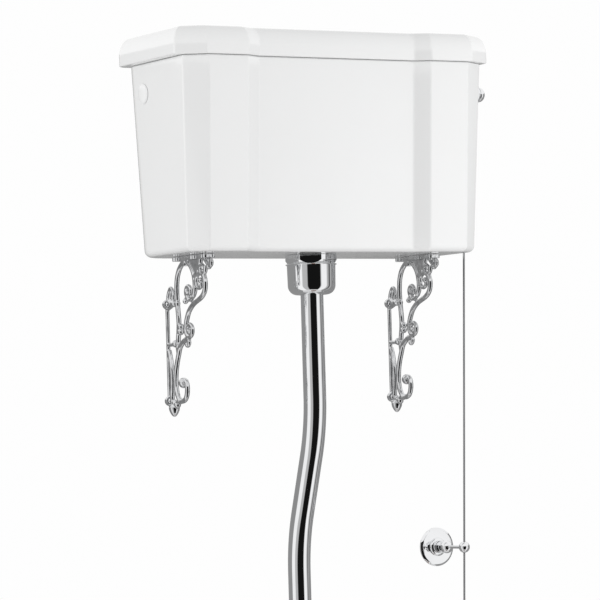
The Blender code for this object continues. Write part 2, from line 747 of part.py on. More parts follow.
def make_lid():
    """Built from its inner ceiling down the locating lip, out to the edge and up over the top."""
    lip_inset = TANK_WALL + LID_LIP_CLEARANCE
    ceiling = LID_HEIGHT - LID_TOP_THICKNESS

    def lip_ring(height, inset):
        return [Vector((point.x, point.y, CISTERN_LEVEL + TANK_HEIGHT + TOUCH + height))
                for point in tank_ring(TANK_HEIGHT, inset)]

    rings = [lip_ring(ceiling, lip_inset + LID_LIP_WALL),
             lip_ring(-LID_LIP_DROP, lip_inset + LID_LIP_WALL),
             lip_ring(-LID_LIP_DROP, lip_inset),
             lip_ring(0.0, lip_inset),
             lid_ring(0.0, LID_EDGE),
             lid_ring(LID_EDGE)]
    side = LID_HEIGHT - LID_CROWN - LID_ROUND_UP
    for step in range(LID_STEPS + 1):
        angle = math.pi / 2 * step / LID_STEPS
        inset = LID_ROUND_ACROSS * (1 - math.cos(angle))
        rings.append(lid_ring(side + LID_ROUND_UP * math.sin(angle), inset))
    rings.append(lid_ring(LID_HEIGHT, LID_ROUND_ACROSS * 3))
    return loft("lid", rings)


def round_head(radius, height, shank_radius, shank_length):
    """Profile of a domed screw whose head rests on height 0."""
    profile = []
    for step in range(HEAD_STEPS + 1):
        angle = math.pi / 2 * step / HEAD_STEPS
        profile.append((radius * math.sin(angle), height * math.cos(angle)))
    return profile + [(shank_radius, 0.0), (shank_radius, -shank_length), (0.0, -shank_length)]


def side_wall_lean():
    return math.atan(SIDE_TAPER / TANK_HEIGHT)


def make_side_cap():
    """The blanking cap in the left side, square to the leaning wall."""
    lean = side_wall_lean()
    outward = Vector((-math.cos(lean), 0, -math.sin(lean)))
    seat = Vector((-tank_half_width(SPINDLE_HEIGHT), -SIDE_CAP_DEPTH, CISTERN_LEVEL + SPINDLE_HEIGHT))
    stem = TANK_WALL + SIDE_CAP_NUT_HEIGHT + OVERRUN
    profile = round_head(SIDE_CAP_RADIUS, SIDE_CAP_DOME, SIDE_CAP_STEM_RADIUS, stem)
    cap = turned("cap", profile, seat + outward * TOUCH, outward)
    bore = SIDE_CAP_STEM_RADIUS + TOUCH
    top = -TANK_WALL - 2 * TOUCH
    bottom = top - SIDE_CAP_NUT_HEIGHT
    nut_profile = [(SIDE_CAP_NUT_RADIUS, top), (SIDE_CAP_NUT_RADIUS, bottom), (bore, bottom), (bore, top)]
    nut = turned("cap_nut", nut_profile, seat, outward, hollow=True)
    return cap, nut


def add_cistern(toilet):
    toilet.add(make_tank(), "cistern_tank", "ceramic")
    toilet.add(make_lid(), "cistern_lid", "ceramic", (0, 0, CISTERN_LEVEL + TANK_HEIGHT))
    cap, nut = make_side_cap()
    toilet.add(cap, "side_hole_cap", "plastic")
    toilet.add(nut, "side_cap_nut", "plastic")
    profile = round_head(SCREW_HEAD_RADIUS, SCREW_HEAD_HEIGHT, SCREW_RADIUS, TANK_WALL)
    for side, word in ((-1, "left"), (1, "right")):
        place = (side * SCREW_SPREAD, -TANK_WALL - TOUCH, CISTERN_LEVEL + SCREW_HEIGHT)
        screw = turned("screw", profile, place, (0, -1, 0), steps=SCREW_STEPS)
        toilet.add(screw, "cistern_screw_" + word, "chrome")


# Flush valve and cup nut

def make_flush_valve():
    """Flange and threaded tail below, a tower with windows above, bored right through."""
    flange = TANK_FLOOR + 2 * TOUCH + VALVE_SEAL_HEIGHT
    tower_top = flange + VALVE_TOWER_HEIGHT
    throat = BUTTON_STEM_RADIUS + RUNNING
    profile = [(VALVE_TOWER_RADIUS, tower_top),
               (VALVE_TOWER_RADIUS, flange + VALVE_FLANGE_HEIGHT),
               (VALVE_FLANGE_RADIUS, flange + VALVE_FLANGE_HEIGHT),
               (VALVE_FLANGE_RADIUS, flange),
               (TAIL_RADIUS, flange),
               (TAIL_RADIUS, -TAIL_DROP),
               (VALVE_BORE_RADIUS, -TAIL_DROP),
               (VALVE_BORE_RADIUS, tower_top - VALVE_CAP_HEIGHT),
               (throat, tower_top - VALVE_CAP_HEIGHT),
               (throat, tower_top)]
    valve = turned("valve", profile, (0, -OUTLET_DEPTH, CISTERN_LEVEL), hollow=True, steps=VALVE_STEPS)
    low = CISTERN_LEVEL + flange + 2 * VALVE_FLANGE_HEIGHT
    reach = VALVE_TOWER_RADIUS + OVERRUN
    half = VALVE_WINDOW_WIDTH / 2
    for across, along in ((reach, half), (half, reach)):
        cut(valve, block("window", (-across, -OUTLET_DEPTH - along, low),
                         (across, -OUTLET_DEPTH + along, low + VALVE_WINDOW_HEIGHT)))
    return valve


def pad_drop():
    """How far below the inner arm's pad centre, and where, the button's top lies."""
    pad = SPINDLE_HEIGHT + inner_arm_length() * math.sin(LEVER_REST_ANGLE)
    return pad - INNER_ARM_PAD_RADIUS - RUNNING


def inner_arm_length():
    return SPINDLE_DEPTH - OUTLET_DEPTH


def make_button():
    """A stem with a conical head, steeper than the arm that presses it."""
    top = pad_drop()
    foot = TANK_FLOOR + VALVE_SEAL_HEIGHT + VALVE_TOWER_HEIGHT - VALVE_CAP_HEIGHT - BUTTON_STEM_ENTRY
    shoulder = top - BUTTON_RADIUS * BUTTON_SLOPE
    under = shoulder - BUTTON_HEAD_HEIGHT
    profile = [(0.0, top), (BUTTON_RADIUS, shoulder), (BUTTON_RADIUS, under), (BUTTON_STEM_RADIUS, under),
               (BUTTON_STEM_RADIUS, foot), (0.0, foot)]
    return turned("button", profile, (0, -OUTLET_DEPTH, CISTERN_LEVEL), steps=RING_STEPS)


def make_cup_nut():
    """A hexagon with turned and chamfered corners over a thin rim and a round-bottomed cup."""
    centre = Vector((0, -OUTLET_DEPTH, CISTERN_LEVEL - TOUCH))
    corner = NUT_ACROSS_FLATS / math.sqrt(3)
    foot = centre - Vector((0, 0, NUT_HEX_HEIGHT + NUT_RIM_HEIGHT / 2))
    about_outlet = Matrix.Translation(centre) @ Matrix.Rotation(NUT_TURN, 4, "Z") @ Matrix.Translation(-centre)
    nut = move(cylinder("hexagon", corner, centre, foot, 6), about_outlet)
    envelope = [(0.0, OVERRUN), (NUT_CORNER_RADIUS, OVERRUN), (NUT_CORNER_RADIUS, -NUT_CHAMFER_TOP),
                (NUT_CHAMFER_RADIUS, -NUT_HEX_HEIGHT), (NUT_CHAMFER_RADIUS, -NUT_HEX_HEIGHT - OVERRUN),
                (0.0, -NUT_HEX_HEIGHT - OVERRUN)]
    combine(nut, turned("chamfer", envelope, centre, steps=NUT_STEPS), "INTERSECT")
    rim = -NUT_HEX_HEIGHT - NUT_RIM_HEIGHT
    cup = [(0.0, -NUT_HEX_HEIGHT),
           (NUT_CORNER_RADIUS - 2 * TOUCH, -NUT_HEX_HEIGHT),
           (NUT_CORNER_RADIUS, rim),
           (NUT_CUP_RADIUS, rim - TOUCH)]
    for step in range(EDGE_STEPS + 1):
        angle = math.pi / 2 * step / EDGE_STEPS
        cup.append((NUT_CUP_RADIUS_BELOW - NUT_CUP_ROUND * (1 - math.cos(angle)),
                    -NUT_HEIGHT + NUT_CUP_ROUND * (1 - math.sin(angle))))
    cup.append((0.0, -NUT_HEIGHT))
    join(nut, turned("cup", cup, centre, steps=NUT_STEPS))
    chamber = TAIL_RADIUS + THREAD_CLEARANCE
    hole = PIPE_RADIUS + RUNNING
    bore = [(0.0, OVERRUN), (chamber, OVERRUN), (chamber, -NUT_HEIGHT + NUT_FLOOR),
            (hole, -NUT_HEIGHT + NUT_FLOOR), (hole, -NUT_HEIGHT - OVERRUN), (0.0, -NUT_HEIGHT - OVERRUN)]
    return cut(nut, turned("bore", bore, centre))


def washer(name, outer, inner, height, place, axis=(0, 0, 1)):
    """A flat ring that stands on its place."""
    profile = [(outer, height), (outer, 0.0), (inner, 0.0), (inner, height)]
    return turned(name, profile, place, axis, hollow=True, steps=RING_STEPS)


def add_flush_valve(toilet):
    toilet.add(make_flush_valve(), "flush_valve", "plastic")
    toilet.add(washer("seal", VALVE_FLANGE_RADIUS, TAIL_RADIUS + THREAD_CLEARANCE, VALVE_SEAL_HEIGHT,
                      (0, -OUTLET_DEPTH, CISTERN_LEVEL + TANK_FLOOR + TOUCH)), "flush_valve_seal", "rubber")
    toilet.add(make_button(), "flush_button", "plastic", (0, -OUTLET_DEPTH, CISTERN_LEVEL + pad_drop()))
    toilet.add(make_cup_nut(), "cup_nut", "chrome")
    seal_level = CISTERN_LEVEL - NUT_HEIGHT + NUT_FLOOR
    toilet.add(washer("seal", TAIL_RADIUS, PIPE_RADIUS + TOUCH, PIPE_SEAL_HEIGHT,
                      (0, -OUTLET_DEPTH, seal_level)), "pipe_seal", "rubber")


# Water inlet and float

def float_hinge():
    reach = TANK_WALL + INLET_NUT_HEIGHT + INLET_BODY_LENGTH
    return Vector((-INLET_OFFSET, -reach - RUNNING - FLOAT_HUB_WIDTH / 2, CISTERN_LEVEL + INLET_HEIGHT))


def make_inlet_valve():
    """A tail through the back wall, a body inside, and the pin that the float arm swings on."""
    tail = TANK_WALL + INLET_NUT_HEIGHT + 2 * TOUCH
    body = TANK_WALL + INLET_NUT_HEIGHT + INLET_BODY_LENGTH
    pin = body + FLOAT_PIN_LENGTH
    bore_end = body * 0.8
    profile = [(0.0, pin), (FLOAT_PIN_RADIUS, pin), (FLOAT_PIN_RADIUS, body), (INLET_BODY_RADIUS, body),
               (INLET_BODY_RADIUS, tail), (INLET_TAIL_RADIUS, tail), (INLET_TAIL_RADIUS, TOUCH),
               (INLET_BORE_RADIUS, TOUCH), (INLET_BORE_RADIUS, bore_end), (0.0, bore_end)]
    place = (-INLET_OFFSET, 0, CISTERN_LEVEL + INLET_HEIGHT)
    valve = turned("inlet", profile, place, (0, -1, 0), steps=16)
    spout = cylinder("spout", INLET_BORE_RADIUS, (place[0], -body * 0.7, place[2]),
                     (place[0], -body * 0.7, place[2] - INLET_BODY_RADIUS - OVERRUN), SMALL_STEPS)
    return cut(valve, spout)


def float_direction():
    return Vector((math.cos(FLOAT_DROP_ANGLE), 0, -math.sin(FLOAT_DROP_ANGLE)))


def make_float_arm():
    hinge = float_hinge()
    half = Vector((0, FLOAT_HUB_WIDTH / 2, 0))
    arm = cylinder("hub", FLOAT_HUB_RADIUS, hinge - half, hinge + half, 16)
    start = hinge + float_direction() * FLOAT_HUB_RADIUS / 2
    end = hinge + float_direction() * (FLOAT_REACH - FLOAT_RADIUS - TOUCH)
    join(arm, cylinder("rod", FLOAT_ROD_RADIUS - TOUCH, start, end, 8))
    bore = FLOAT_PIN_RADIUS + RUNNING
    return cut(arm, cylinder("bore", bore, hinge - 2 * half, hinge + 2 * half, 16))


def add_inlet(toilet):
    hinge = float_hinge()
    toilet.add(make_inlet_valve(), "inlet_valve", "brass")
    toilet.add(washer("nut", INLET_NUT_RADIUS, INLET_TAIL_RADIUS + TOUCH, INLET_NUT_HEIGHT,
                      (-INLET_OFFSET, -TANK_WALL - TOUCH, CISTERN_LEVEL + INLET_HEIGHT), (0, -1, 0)),
               "inlet_nut", "brass")
    toilet.add(make_float_arm(), "float_arm", "brass", hinge)
    centre = hinge + float_direction() * FLOAT_REACH
    toilet.add(ball("float", FLOAT_RADIUS, centre, 16), "float_ball", "plastic", hinge)


# Lever, pull rod and guide

def bush_seat():
    """X of the bush flange's inner face, clear of the leaning wall."""
    return tank_half_width(SPINDLE_HEIGHT + BUSH_FLANGE_RADIUS) + TOUCH


def crank_inner_face():
    return bush_seat() + BUSH_FLANGE_HEIGHT + RUNNING


def rod_offset():
    return crank_inner_face() + CRANK_THICKNESS + RUNNING + EYE_THICKNESS / 2


def spindle_centre(across=0.0):
    return Vector((across, -SPINDLE_DEPTH, CISTERN_LEVEL + SPINDLE_HEIGHT))


def lever_turn():
    """Turns a link drawn along +X in the XY plane into the lever's plane, raised at its rear."""
    upright = Matrix(((0, 0, 1, 0), (1, 0, 0, 0), (0, 1, 0, 0), (0, 0, 0, 1)))
    return Matrix.Rotation(LEVER_REST_ANGLE, 4, "X") @ upright


def crank_pin():
    raised = Vector((0, math.cos(LEVER_REST_ANGLE), math.sin(LEVER_REST_ANGLE)))
    return spindle_centre(rod_offset()) + raised * CRANK_LENGTH


def make_bush():
    seat = bush_seat()
    bore = SPINDLE_RADIUS + RUNNING
    profile = [(BUSH_FLANGE_RADIUS, BUSH_FLANGE_HEIGHT),
               (BUSH_FLANGE_RADIUS, 0.0),
               (BUSH_THREAD_RADIUS, 0.0),
               (BUSH_THREAD_RADIUS, -BUSH_LENGTH),
               (bore, -BUSH_LENGTH),
               (bore, BUSH_FLANGE_HEIGHT)]
    return turned("bush", profile, spindle_centre(seat), (1, 0, 0), hollow=True)


def make_outer_crank():
    """A tapered link with its hub on the spindle and a headed pin for the rod's eye."""
    outline = link_outline(CRANK_HUB_RADIUS, CRANK_BOSS_RADIUS, CRANK_LENGTH)
    middle = crank_inner_face() + CRANK_THICKNESS / 2
    crank = plate("crank", outline, CRANK_THICKNESS)
    move(crank, Matrix.Translation(spindle_centre(middle)) @ lever_turn())
    face = crank_inner_face() + CRANK_THICKNESS
    end = face + EYE_THICKNESS + 2 * RUNNING
    pin = crank_pin()
    stages = [Vector((across, pin.y, pin.z)) for across in
              (middle, end, end + CRANK_PIN_HEAD_HEIGHT / 2, end + CRANK_PIN_HEAD_HEIGHT)]
    join(crank, cylinder("pin", CRANK_PIN_RADIUS, stages[0], stages[2], RING_STEPS),
         cylinder("pin_head", CRANK_PIN_HEAD_RADIUS, stages[1], stages[3], RING_STEPS))
    hole = cylinder("hole", SPINDLE_RADIUS + TOUCH, spindle_centre(crank_inner_face() - OVERRUN),
                    spindle_centre(face + OVERRUN), RING_STEPS)
    return cut(crank, hole)


def make_inner_arm():
    outline = link_outline(CRANK_HUB_RADIUS, INNER_ARM_PAD_RADIUS, inner_arm_length())
    arm = plate("arm", outline, INNER_ARM_THICKNESS)
    move(arm, Matrix.Translation(spindle_centre()) @ lever_turn())
    start = spindle_centre(-INNER_ARM_THICKNESS)
    end = spindle_centre(INNER_ARM_THICKNESS)
    return cut(arm, cylinder("hole", SPINDLE_RADIUS + TOUCH, start, end, RING_STEPS))


def guide_eye_centre():
    return Vector((rod_offset(), -GUIDE_EYE_DEPTH, CISTERN_LEVEL - GUIDE_DROP))


def rod_direction():
    """Down the rod, from the crank's pin through the guide's eye."""
    return (guide_eye_centre() - crank_pin()).normalized()


def make_rod_eye():
    pin = crank_pin()
    half = Vector((EYE_THICKNESS / 2, 0, 0))
    eye = cylinder("eye", EYE_RADIUS, pin - half, pin + half, 16)
    start = pin + rod_direction() * EYE_RADIUS * 0.6
    join(eye, cylinder("socket", EYE_SOCKET_RADIUS, start, pin + rod_direction() * EYE_SOCKET_LENGTH, 12))
    bore = CRANK_PIN_RADIUS + EYE_PLAY
    return cut(eye, cylinder("bore", bore, pin - 2 * half, pin + 2 * half, 16))


def handle_top():
    pin = crank_pin()
    return pin + rod_direction() * (pin.z - HANDLE_LEVEL) / -rod_direction().z


def make_handle():
    """A long turned drop, narrow at the neck and full below the middle."""
    profile = [(0.0, 0.0), (HANDLE_RADIUS * 0.38, 0.0)]
    for step in range(1, 9):
        share = step / 9
        swell = 0.38 + 0.62 * math.sin(math.pi * (0.12 + 0.76 * share ** 1.25)) ** 1.4
        profile.append((HANDLE_RADIUS * min(swell, 1.0), -HANDLE_LENGTH * share))
    profile += [(HANDLE_RADIUS * 0.30, -HANDLE_LENGTH), (0.0, -HANDLE_LENGTH)]
    place = handle_top() + rod_direction() * (FERRULE_LENGTH + TOUCH)
    return turned("handle", profile, place, -rod_direction(), steps=20)


def add_lever(toilet):
    seat = bush_seat()
    hinge = spindle_centre()
    toilet.add(make_bush(), "spindle_bush", "chrome")
    inner_wall = tank_half_width(SPINDLE_HEIGHT - BUSH_NUT_RADIUS) - TANK_WALL - 2 * TOUCH
    toilet.add(washer("nut", BUSH_NUT_RADIUS, BUSH_THREAD_RADIUS + TOUCH, BUSH_NUT_HEIGHT,
                      spindle_centre(inner_wall), (-1, 0, 0)), "bush_nut", "brass")
    face = crank_inner_face() + CRANK_THICKNESS
    start = spindle_centre(-INNER_ARM_THICKNESS)
    spindle = cylinder("spindle", SPINDLE_RADIUS, start, spindle_centre(face), RING_STEPS)
    toilet.add(spindle, "flush_spindle", "brass", hinge)
    toilet.add(make_outer_crank(), "outer_crank", "chrome", hinge)
    dome = [(0.0, DOME_HEIGHT)]
    for step in range(1, EDGE_STEPS + 1):
        angle = math.pi / 2 * step / EDGE_STEPS
        dome.append((DOME_RADIUS * math.sin(angle), DOME_RIM + (DOME_HEIGHT - DOME_RIM) * math.cos(angle)))
    dome += [(DOME_RADIUS, 0.0), (0.0, 0.0)]
    cap = turned("dome", dome, spindle_centre(face + TOUCH), (1, 0, 0))
    toilet.add(cap, "crank_dome_cap", "chrome", hinge)
    toilet.add(make_inner_arm(), "inner_arm", "brass", hinge)

    pin = crank_pin()
    toilet.add(make_rod_eye(), "rod_eye", "chrome", pin)
    top = pin + rod_direction() * (EYE_SOCKET_LENGTH + TOUCH)
    end = handle_top() - rod_direction() * TOUCH
    toilet.add(cylinder("rod", ROD_RADIUS, top, end, 8), "pull_rod", "chrome", pin)
    ferrule = [(0.0, 0.0),
               (FERRULE_RADIUS * 0.5, 0.0),
               (FERRULE_RADIUS * 0.7, -FERRULE_LENGTH * 0.4),
               (FERRULE_RADIUS, -FERRULE_LENGTH * 0.6),
               (FERRULE_RADIUS, -FERRULE_LENGTH),
               (0.0, -FERRULE_LENGTH)]
    toilet.add(turned("ferrule", ferrule, handle_top(), -rod_direction(), steps=16),
               "handle_ferrule", "chrome", pin)
    toilet.add(make_handle(), "pull_handle", "ceramic", pin)


def add_guide(toilet):
    """A rose on the wall, a ball-ended arm in its socket, and the eye that the rod slides through."""
    eye = guide_eye_centre()
    wall = Vector((eye.x, -TOUCH, eye.z))
    profile = [(0.0, ROSE_BOSS_HEIGHT - ROSE_SOCKET_DEPTH),
               (ROSE_SOCKET_RADIUS, ROSE_BOSS_HEIGHT - ROSE_SOCKET_DEPTH),
               (ROSE_SOCKET_RADIUS, ROSE_BOSS_HEIGHT),
               (ROSE_BOSS_RADIUS, ROSE_BOSS_HEIGHT),
               (ROSE_BOSS_RADIUS, ROSE_HEIGHT),
               (ROSE_RADIUS - ROSE_HEIGHT, ROSE_HEIGHT),
               (ROSE_RADIUS, ROSE_HEIGHT / 2),
               (ROSE_RADIUS, 0.0),
               (0.0, 0.0)]
    rose = turned("rose", profile, wall, (0, -1, 0), steps=28)
    screw = round_head(ROSE_SCREW_HEAD_RADIUS, ROSE_SCREW_HEAD_HEIGHT, ROSE_SCREW_RADIUS, ROSE_HEIGHT)
    for side, word in ((-1, "left"), (1, "right")):
        across = eye.x + side * ROSE_SCREW_OFFSET
        cut(rose, cylinder("hole", ROSE_SCREW_RADIUS + TOUCH, (across, OVERRUN, eye.z),
                           (across, -ROSE_HEIGHT - OVERRUN, eye.z), SMALL_STEPS))
        seat = (across, -ROSE_HEIGHT - 2 * TOUCH, eye.z)
        head = turned("screw", screw, seat, (0, -1, 0), steps=SCREW_STEPS)
        toilet.add(head, "rose_screw_" + word, "chrome")
    toilet.add(rose, "guide_rose", "chrome")
    neck_start = (eye.x, -ROSE_BOSS_HEIGHT + ROSE_SOCKET_DEPTH - 2 * TOUCH, eye.z)
    ball_centre = Vector((eye.x, -GUIDE_BALL_DEPTH, eye.z))
    arm = ball("arm", GUIDE_BALL_RADIUS, ball_centre, 16)
    join(arm, cylinder("neck", ROSE_SOCKET_RADIUS * 0.7, neck_start, ball_centre, 16))
    arm_end = (eye.x, eye.y + GUIDE_EYE_RADIUS + TOUCH, eye.z)
    join(arm, cylinder("bar", GUIDE_ARM_RADIUS, ball_centre, arm_end, 12))
    toilet.add(arm, "guide_arm", "chrome")
    reach = rod_direction() * (GUIDE_EYE_RADIUS + OVERRUN)
    hole = cylinder("hole", GUIDE_HOLE_RADIUS, eye - reach, eye + reach, SMALL_STEPS)
    toilet.add(cut(ball("eye", GUIDE_EYE_RADIUS, eye, 16), hole), "guide_eye", "chrome")


# Brackets

def bracket_point(reach_share, drop_share):
    return Vector((0, -reach_share * BRACKET_REACH, -drop_share * BRACKET_DROP))


def curl(reach_share, drop_share, first_share, last_share, start_share, turns_share):
    """Points of a spiral in the bracket's plane; its angle grows from the outward side upwards."""
    points = []
    steps = round(abs(turns_share) * CURL_STEPS)
    for step in range(steps + 1):
        angle = math.tau * (start_share + turns_share * step / steps)
        radius = BRACKET_REACH * (first_share + (last_share - first_share) * step / steps)
        arm = Vector((0, -math.cos(angle), math.sin(angle))) * radius
        points.append(bracket_point(reach_share, drop_share) + arm)
    return points


def make_plate():
    """The flat bar under the cistern, with pairs of lobes along its sides."""
    half = PLATE_WIDTH / 2
    front = -PLATE_FRONT_SHARE * BRACKET_REACH
    bar = block("plate", (-half, front, -PLATE_THICKNESS), (half, -PLATE_REAR, 0))
    for share in LOBE_SHARES:
        for across in (LOBE_INSET - half, half - LOBE_INSET):
            top = (across, -share * BRACKET_REACH, 0)
            foot = (across, -share * BRACKET_REACH, -PLATE_THICKNESS)
            join(bar, cylinder("lobe", LOBE_RADIUS, top, foot, BEAD_STEPS))
    return bar


def make_bracket():
    """One casting about its own upright plane, hung from the top face of its plate at height 0."""
    bracket = make_plate()
    collar = -COLLAR_SHARE * BRACKET_REACH
    join(bracket, block("collar", (-COLLAR_HALF_WIDTH, collar - COLLAR_HALF_DEPTH, -COLLAR_DROP),
                        (COLLAR_HALF_WIDTH, collar + COLLAR_HALF_DEPTH, -PLATE_THICKNESS / 2)))
    strands = [([bracket_point(*place) for place in places], STRAND_RADIUS)
               for places in STRAND_SHARES.values()]
    strands += [([bracket_point(*place) for place in places], TENDRIL_RADIUS)
                for places in TENDRIL_SHARES.values()]
    strands += [(curl(*place), TENDRIL_RADIUS) for place in CURL_SHARES.values()]
    for order, (points, radius) in enumerate(strands):
        join(bracket, tube("strand", points, radius * (1 - THINNING_SHARE * order), 1))
    bar = block("bar", (-BAR_WIDTH / 2, -BAR_THICKNESS - TOUCH, -BAR_FOOT_SHARE * BRACKET_DROP),
                (BAR_WIDTH / 2, -TOUCH, -BAR_TOP_SHARE * BRACKET_DROP))
    for share in (PAD_TOP_SHARE, PAD_FOOT_SHARE):
        level = -share * BRACKET_DROP
        join(bar, cylinder("pad", PAD_RADIUS, (0, -TOUCH, level), (0, -BAR_THICKNESS - 2 * TOUCH, level),
                           SMALL_STEPS))
    join(bracket, bar)
    tip = Vector((0, -TIP_REACH_SHARE * BRACKET_REACH, -TIP_TOP_SHARE * BRACKET_DROP))
    depth = BRACKET_DROP * (1 - TIP_TOP_SHARE)
    cone = [(0.0, TIP_RADIUS * 0.8), (TIP_RADIUS * 0.8, TIP_RADIUS * 0.4), (TIP_RADIUS, 0.0),
            (TIP_RADIUS * 0.6, -depth * 0.55), (0.0, -depth)]
    join(bracket, turned("tip", cone, tip, steps=SMALL_STEPS))
    join(bracket, ball("hook_ball", HOOK_BALL_RADIUS, bracket_point(*HOOK_BALL_SHARES), BEAD_STEPS))
    for order, shares in enumerate(BEAD_SHARES):
        radius = BEAD_RADIUS * (1 - THINNING_SHARE * order)
        join(bracket, ball("bead", radius, bracket_point(*shares), BEAD_STEPS))
    for share in (PAD_TOP_SHARE, PAD_FOOT_SHARE):
        level = -share * BRACKET_DROP
        end = (0, -BAR_THICKNESS - BRACKET_SCREW_HEAD_HEIGHT - RUNNING - 3 * TOUCH, level)
        seat = (0, -BAR_THICKNESS - 2 * TOUCH, level)
        cut(bracket, cylinder("hole", BRACKET_SCREW_RADIUS + TOUCH, (0, OVERRUN, level), end, SMALL_STEPS))
        cut(bracket, cylinder("seat", BRACKET_SCREW_HEAD_RADIUS + TOUCH, seat, end, SMALL_STEPS))
    return bracket


def add_brackets(toilet):
    casting = make_bracket()
    screw = round_head(BRACKET_SCREW_HEAD_RADIUS, BRACKET_SCREW_HEAD_HEIGHT, BRACKET_SCREW_RADIUS,
                       BRACKET_SCREW_LENGTH)
    for side, word in ((-1, "left"), (1, "right")):
        place = Vector((side * BRACKET_OFFSET, 0, CISTERN_LEVEL - TOUCH))
        copy = link_object("copy", casting.data.copy())
        toilet.add(move(copy, Matrix.Translation(place)), word + "_bracket", "chrome")
        for share, level in ((PAD_TOP_SHARE, "upper"), (PAD_FOOT_SHARE, "lower")):
            seat = place + Vector((0, -BAR_THICKNESS - 3 * TOUCH, -share * BRACKET_DROP))
            toilet.add(turned("screw", screw, seat, (0, -1, 0), steps=SCREW_STEPS),
                       "{}_bracket_screw_{}".format(word, level), "chrome")
    bpy.data.objects.remove(casting)


# Flush pipe

def bend(start, first, last, radius, steps=6):
    """Points of an arc in the pipe's upright plane; the angles are the pipe's lean from straight down."""
    points = []
    for step in range(steps + 1):
        angle = first + (last - first) * step / steps
        if last > first:
            points.append(start + Vector((0, radius * (math.cos(first) - math.cos(angle)),
                                          -radius * (math.sin(angle) - math.sin(first)))))
        else:
            points.append(start + Vector((0, radius * (math.cos(angle) - math.cos(first)),
                                          -radius * (math.sin(first) - math.sin(angle)))))
    return points


def upper_pipe_route():
    """Straight down from the cup nut, back to the wall in a long offset, and down to the joint."""
    top = Vector((0, -OUTLET_DEPTH, CISTERN_LEVEL - TAIL_DROP - PIPE_TOP_GAP))
    start = Vector((0, -OUTLET_DEPTH, CISTERN_LEVEL - PIPE_BEND_DROP))
    first = bend(start, 0.0, PIPE_BEND_ANGLE, PIPE_BEND_RADIUS)
    run = PIPE_SET_BACK * (1 - PIPE_BEND_SHARE) / math.sin(PIPE_BEND_ANGLE)
    lean = Vector((0, math.sin(PIPE_BEND_ANGLE), -math.cos(PIPE_BEND_ANGLE)))
    second = bend(first[-1] + lean * run, PIPE_BEND_ANGLE, 0.0, PIPE_BEND_RADIUS)
    end = Vector((0, -PIPE_WALL_DEPTH, PIPE_JOINT_LEVEL + RUNNING))
    return [top] + first + second + [end]


def lower_pipe_route():
    """Down the wall and forward through an elbow into the pan's flush inlet."""
    top = Vector((0, -PIPE_WALL_DEPTH, PIPE_JOINT_LEVEL - RUNNING))
    points = [top]
    for step in range(9):
        angle = math.pi / 2 * step / 8
        points.append(Vector((0, -PIPE_WALL_DEPTH - PIPE_ELBOW_RADIUS * (1 - math.cos(angle)),
                              FLUSH_INLET_LEVEL + PIPE_ELBOW_RADIUS * (1 - math.sin(angle)))))
    points.append(Vector((0, -PAN_REAR - CONE_PLUG_LENGTH / 2, FLUSH_INLET_LEVEL)))
    return points


def make_pipe(route):
    """An open tube given its wall inwards, with rims at both ends."""
    pipe = tube("pipe", route, PIPE_RADIUS, PIPE_ROUNDING, capped=False)
    wall = pipe.modifiers.new("Wall", "SOLIDIFY")
    wall.thickness = PIPE_WALL
    wall.offset = -1
    wall.use_rim = True
    return bake(pipe)


def make_clip():
    """A ring round the pipe on a stem from a small wall plate."""
    inner = PIPE_RADIUS + TOUCH
    outer = inner + CLIP_WALL
    low = CLIP_LEVEL - CLIP_HEIGHT / 2
    clip = cylinder("ring", outer, (0, -PIPE_WALL_DEPTH, low), (0, -PIPE_WALL_DEPTH, low + CLIP_HEIGHT))
    join(clip, cylinder("stem", CLIP_STEM_RADIUS, (0, -CLIP_BASE_HEIGHT / 2, CLIP_LEVEL),
                        (0, -PIPE_WALL_DEPTH, CLIP_LEVEL), 16),
         cylinder("base", CLIP_BASE_RADIUS, (0, -TOUCH, CLIP_LEVEL), (0, -CLIP_BASE_HEIGHT, CLIP_LEVEL)))
    return cut(clip, cylinder("bore", inner, (0, -PIPE_WALL_DEPTH, low - OVERRUN),
                              (0, -PIPE_WALL_DEPTH, low + CLIP_HEIGHT + OVERRUN)))


def make_coupling():
    """A sleeve nut with a collar at each end."""
    half = COUPLING_LENGTH / 2
    neck = COUPLING_RADIUS - (COUPLING_RADIUS - PIPE_RADIUS) / 3
    collar = half * 0.55
    bore = PIPE_RADIUS + TOUCH
    profile = [(neck, half),
               (COUPLING_RADIUS, half - TOUCH),
               (COUPLING_RADIUS, half - collar),
               (neck, half - collar),
               (neck, collar - half),
               (COUPLING_RADIUS, collar - half),
               (COUPLING_RADIUS, TOUCH - half),
               (neck, -half),
               (bore, -half),
               (bore, half)]
    return turned("coupling", profile, (0, -PIPE_WALL_DEPTH, PIPE_JOINT_LEVEL), hollow=True)


def add_flush_pipe(toilet):
    toilet.add(make_pipe(upper_pipe_route()), "flush_pipe_upper", "chrome")
    toilet.add(make_coupling(), "pipe_coupling", "chrome")
    toilet.add(make_pipe(lower_pipe_route()), "flush_pipe_lower", "chrome")
    toilet.add(make_clip(), "pipe_clip", "chrome")
    bore = PIPE_RADIUS + TOUCH
    plug = FLUSH_INLET_RADIUS - TOUCH
    cone = [(bore + TOUCH, CONE_FLANGE_LENGTH), (CONE_FLANGE_RADIUS, TOUCH), (plug, TOUCH),
            (plug, -CONE_PLUG_LENGTH), (bore, -CONE_PLUG_LENGTH), (bore, CONE_FLANGE_LENGTH)]
    toilet.add(turned("cone", cone, (0, -PAN_REAR, FLUSH_INLET_LEVEL), (0, 1, 0), hollow=True),
               "flush_cone", "white_rubber")


# Pan

def pan_corners(half_width, rear_half_width, rear, front):
    """A rear edge, sides that widen from it, and a round front."""
    shoulder = rear + (front - rear) * PAN_SHOULDER_SHARE
    return mirrored_corners(((rear_half_width, rear), (half_width, shoulder), (half_width, front)))


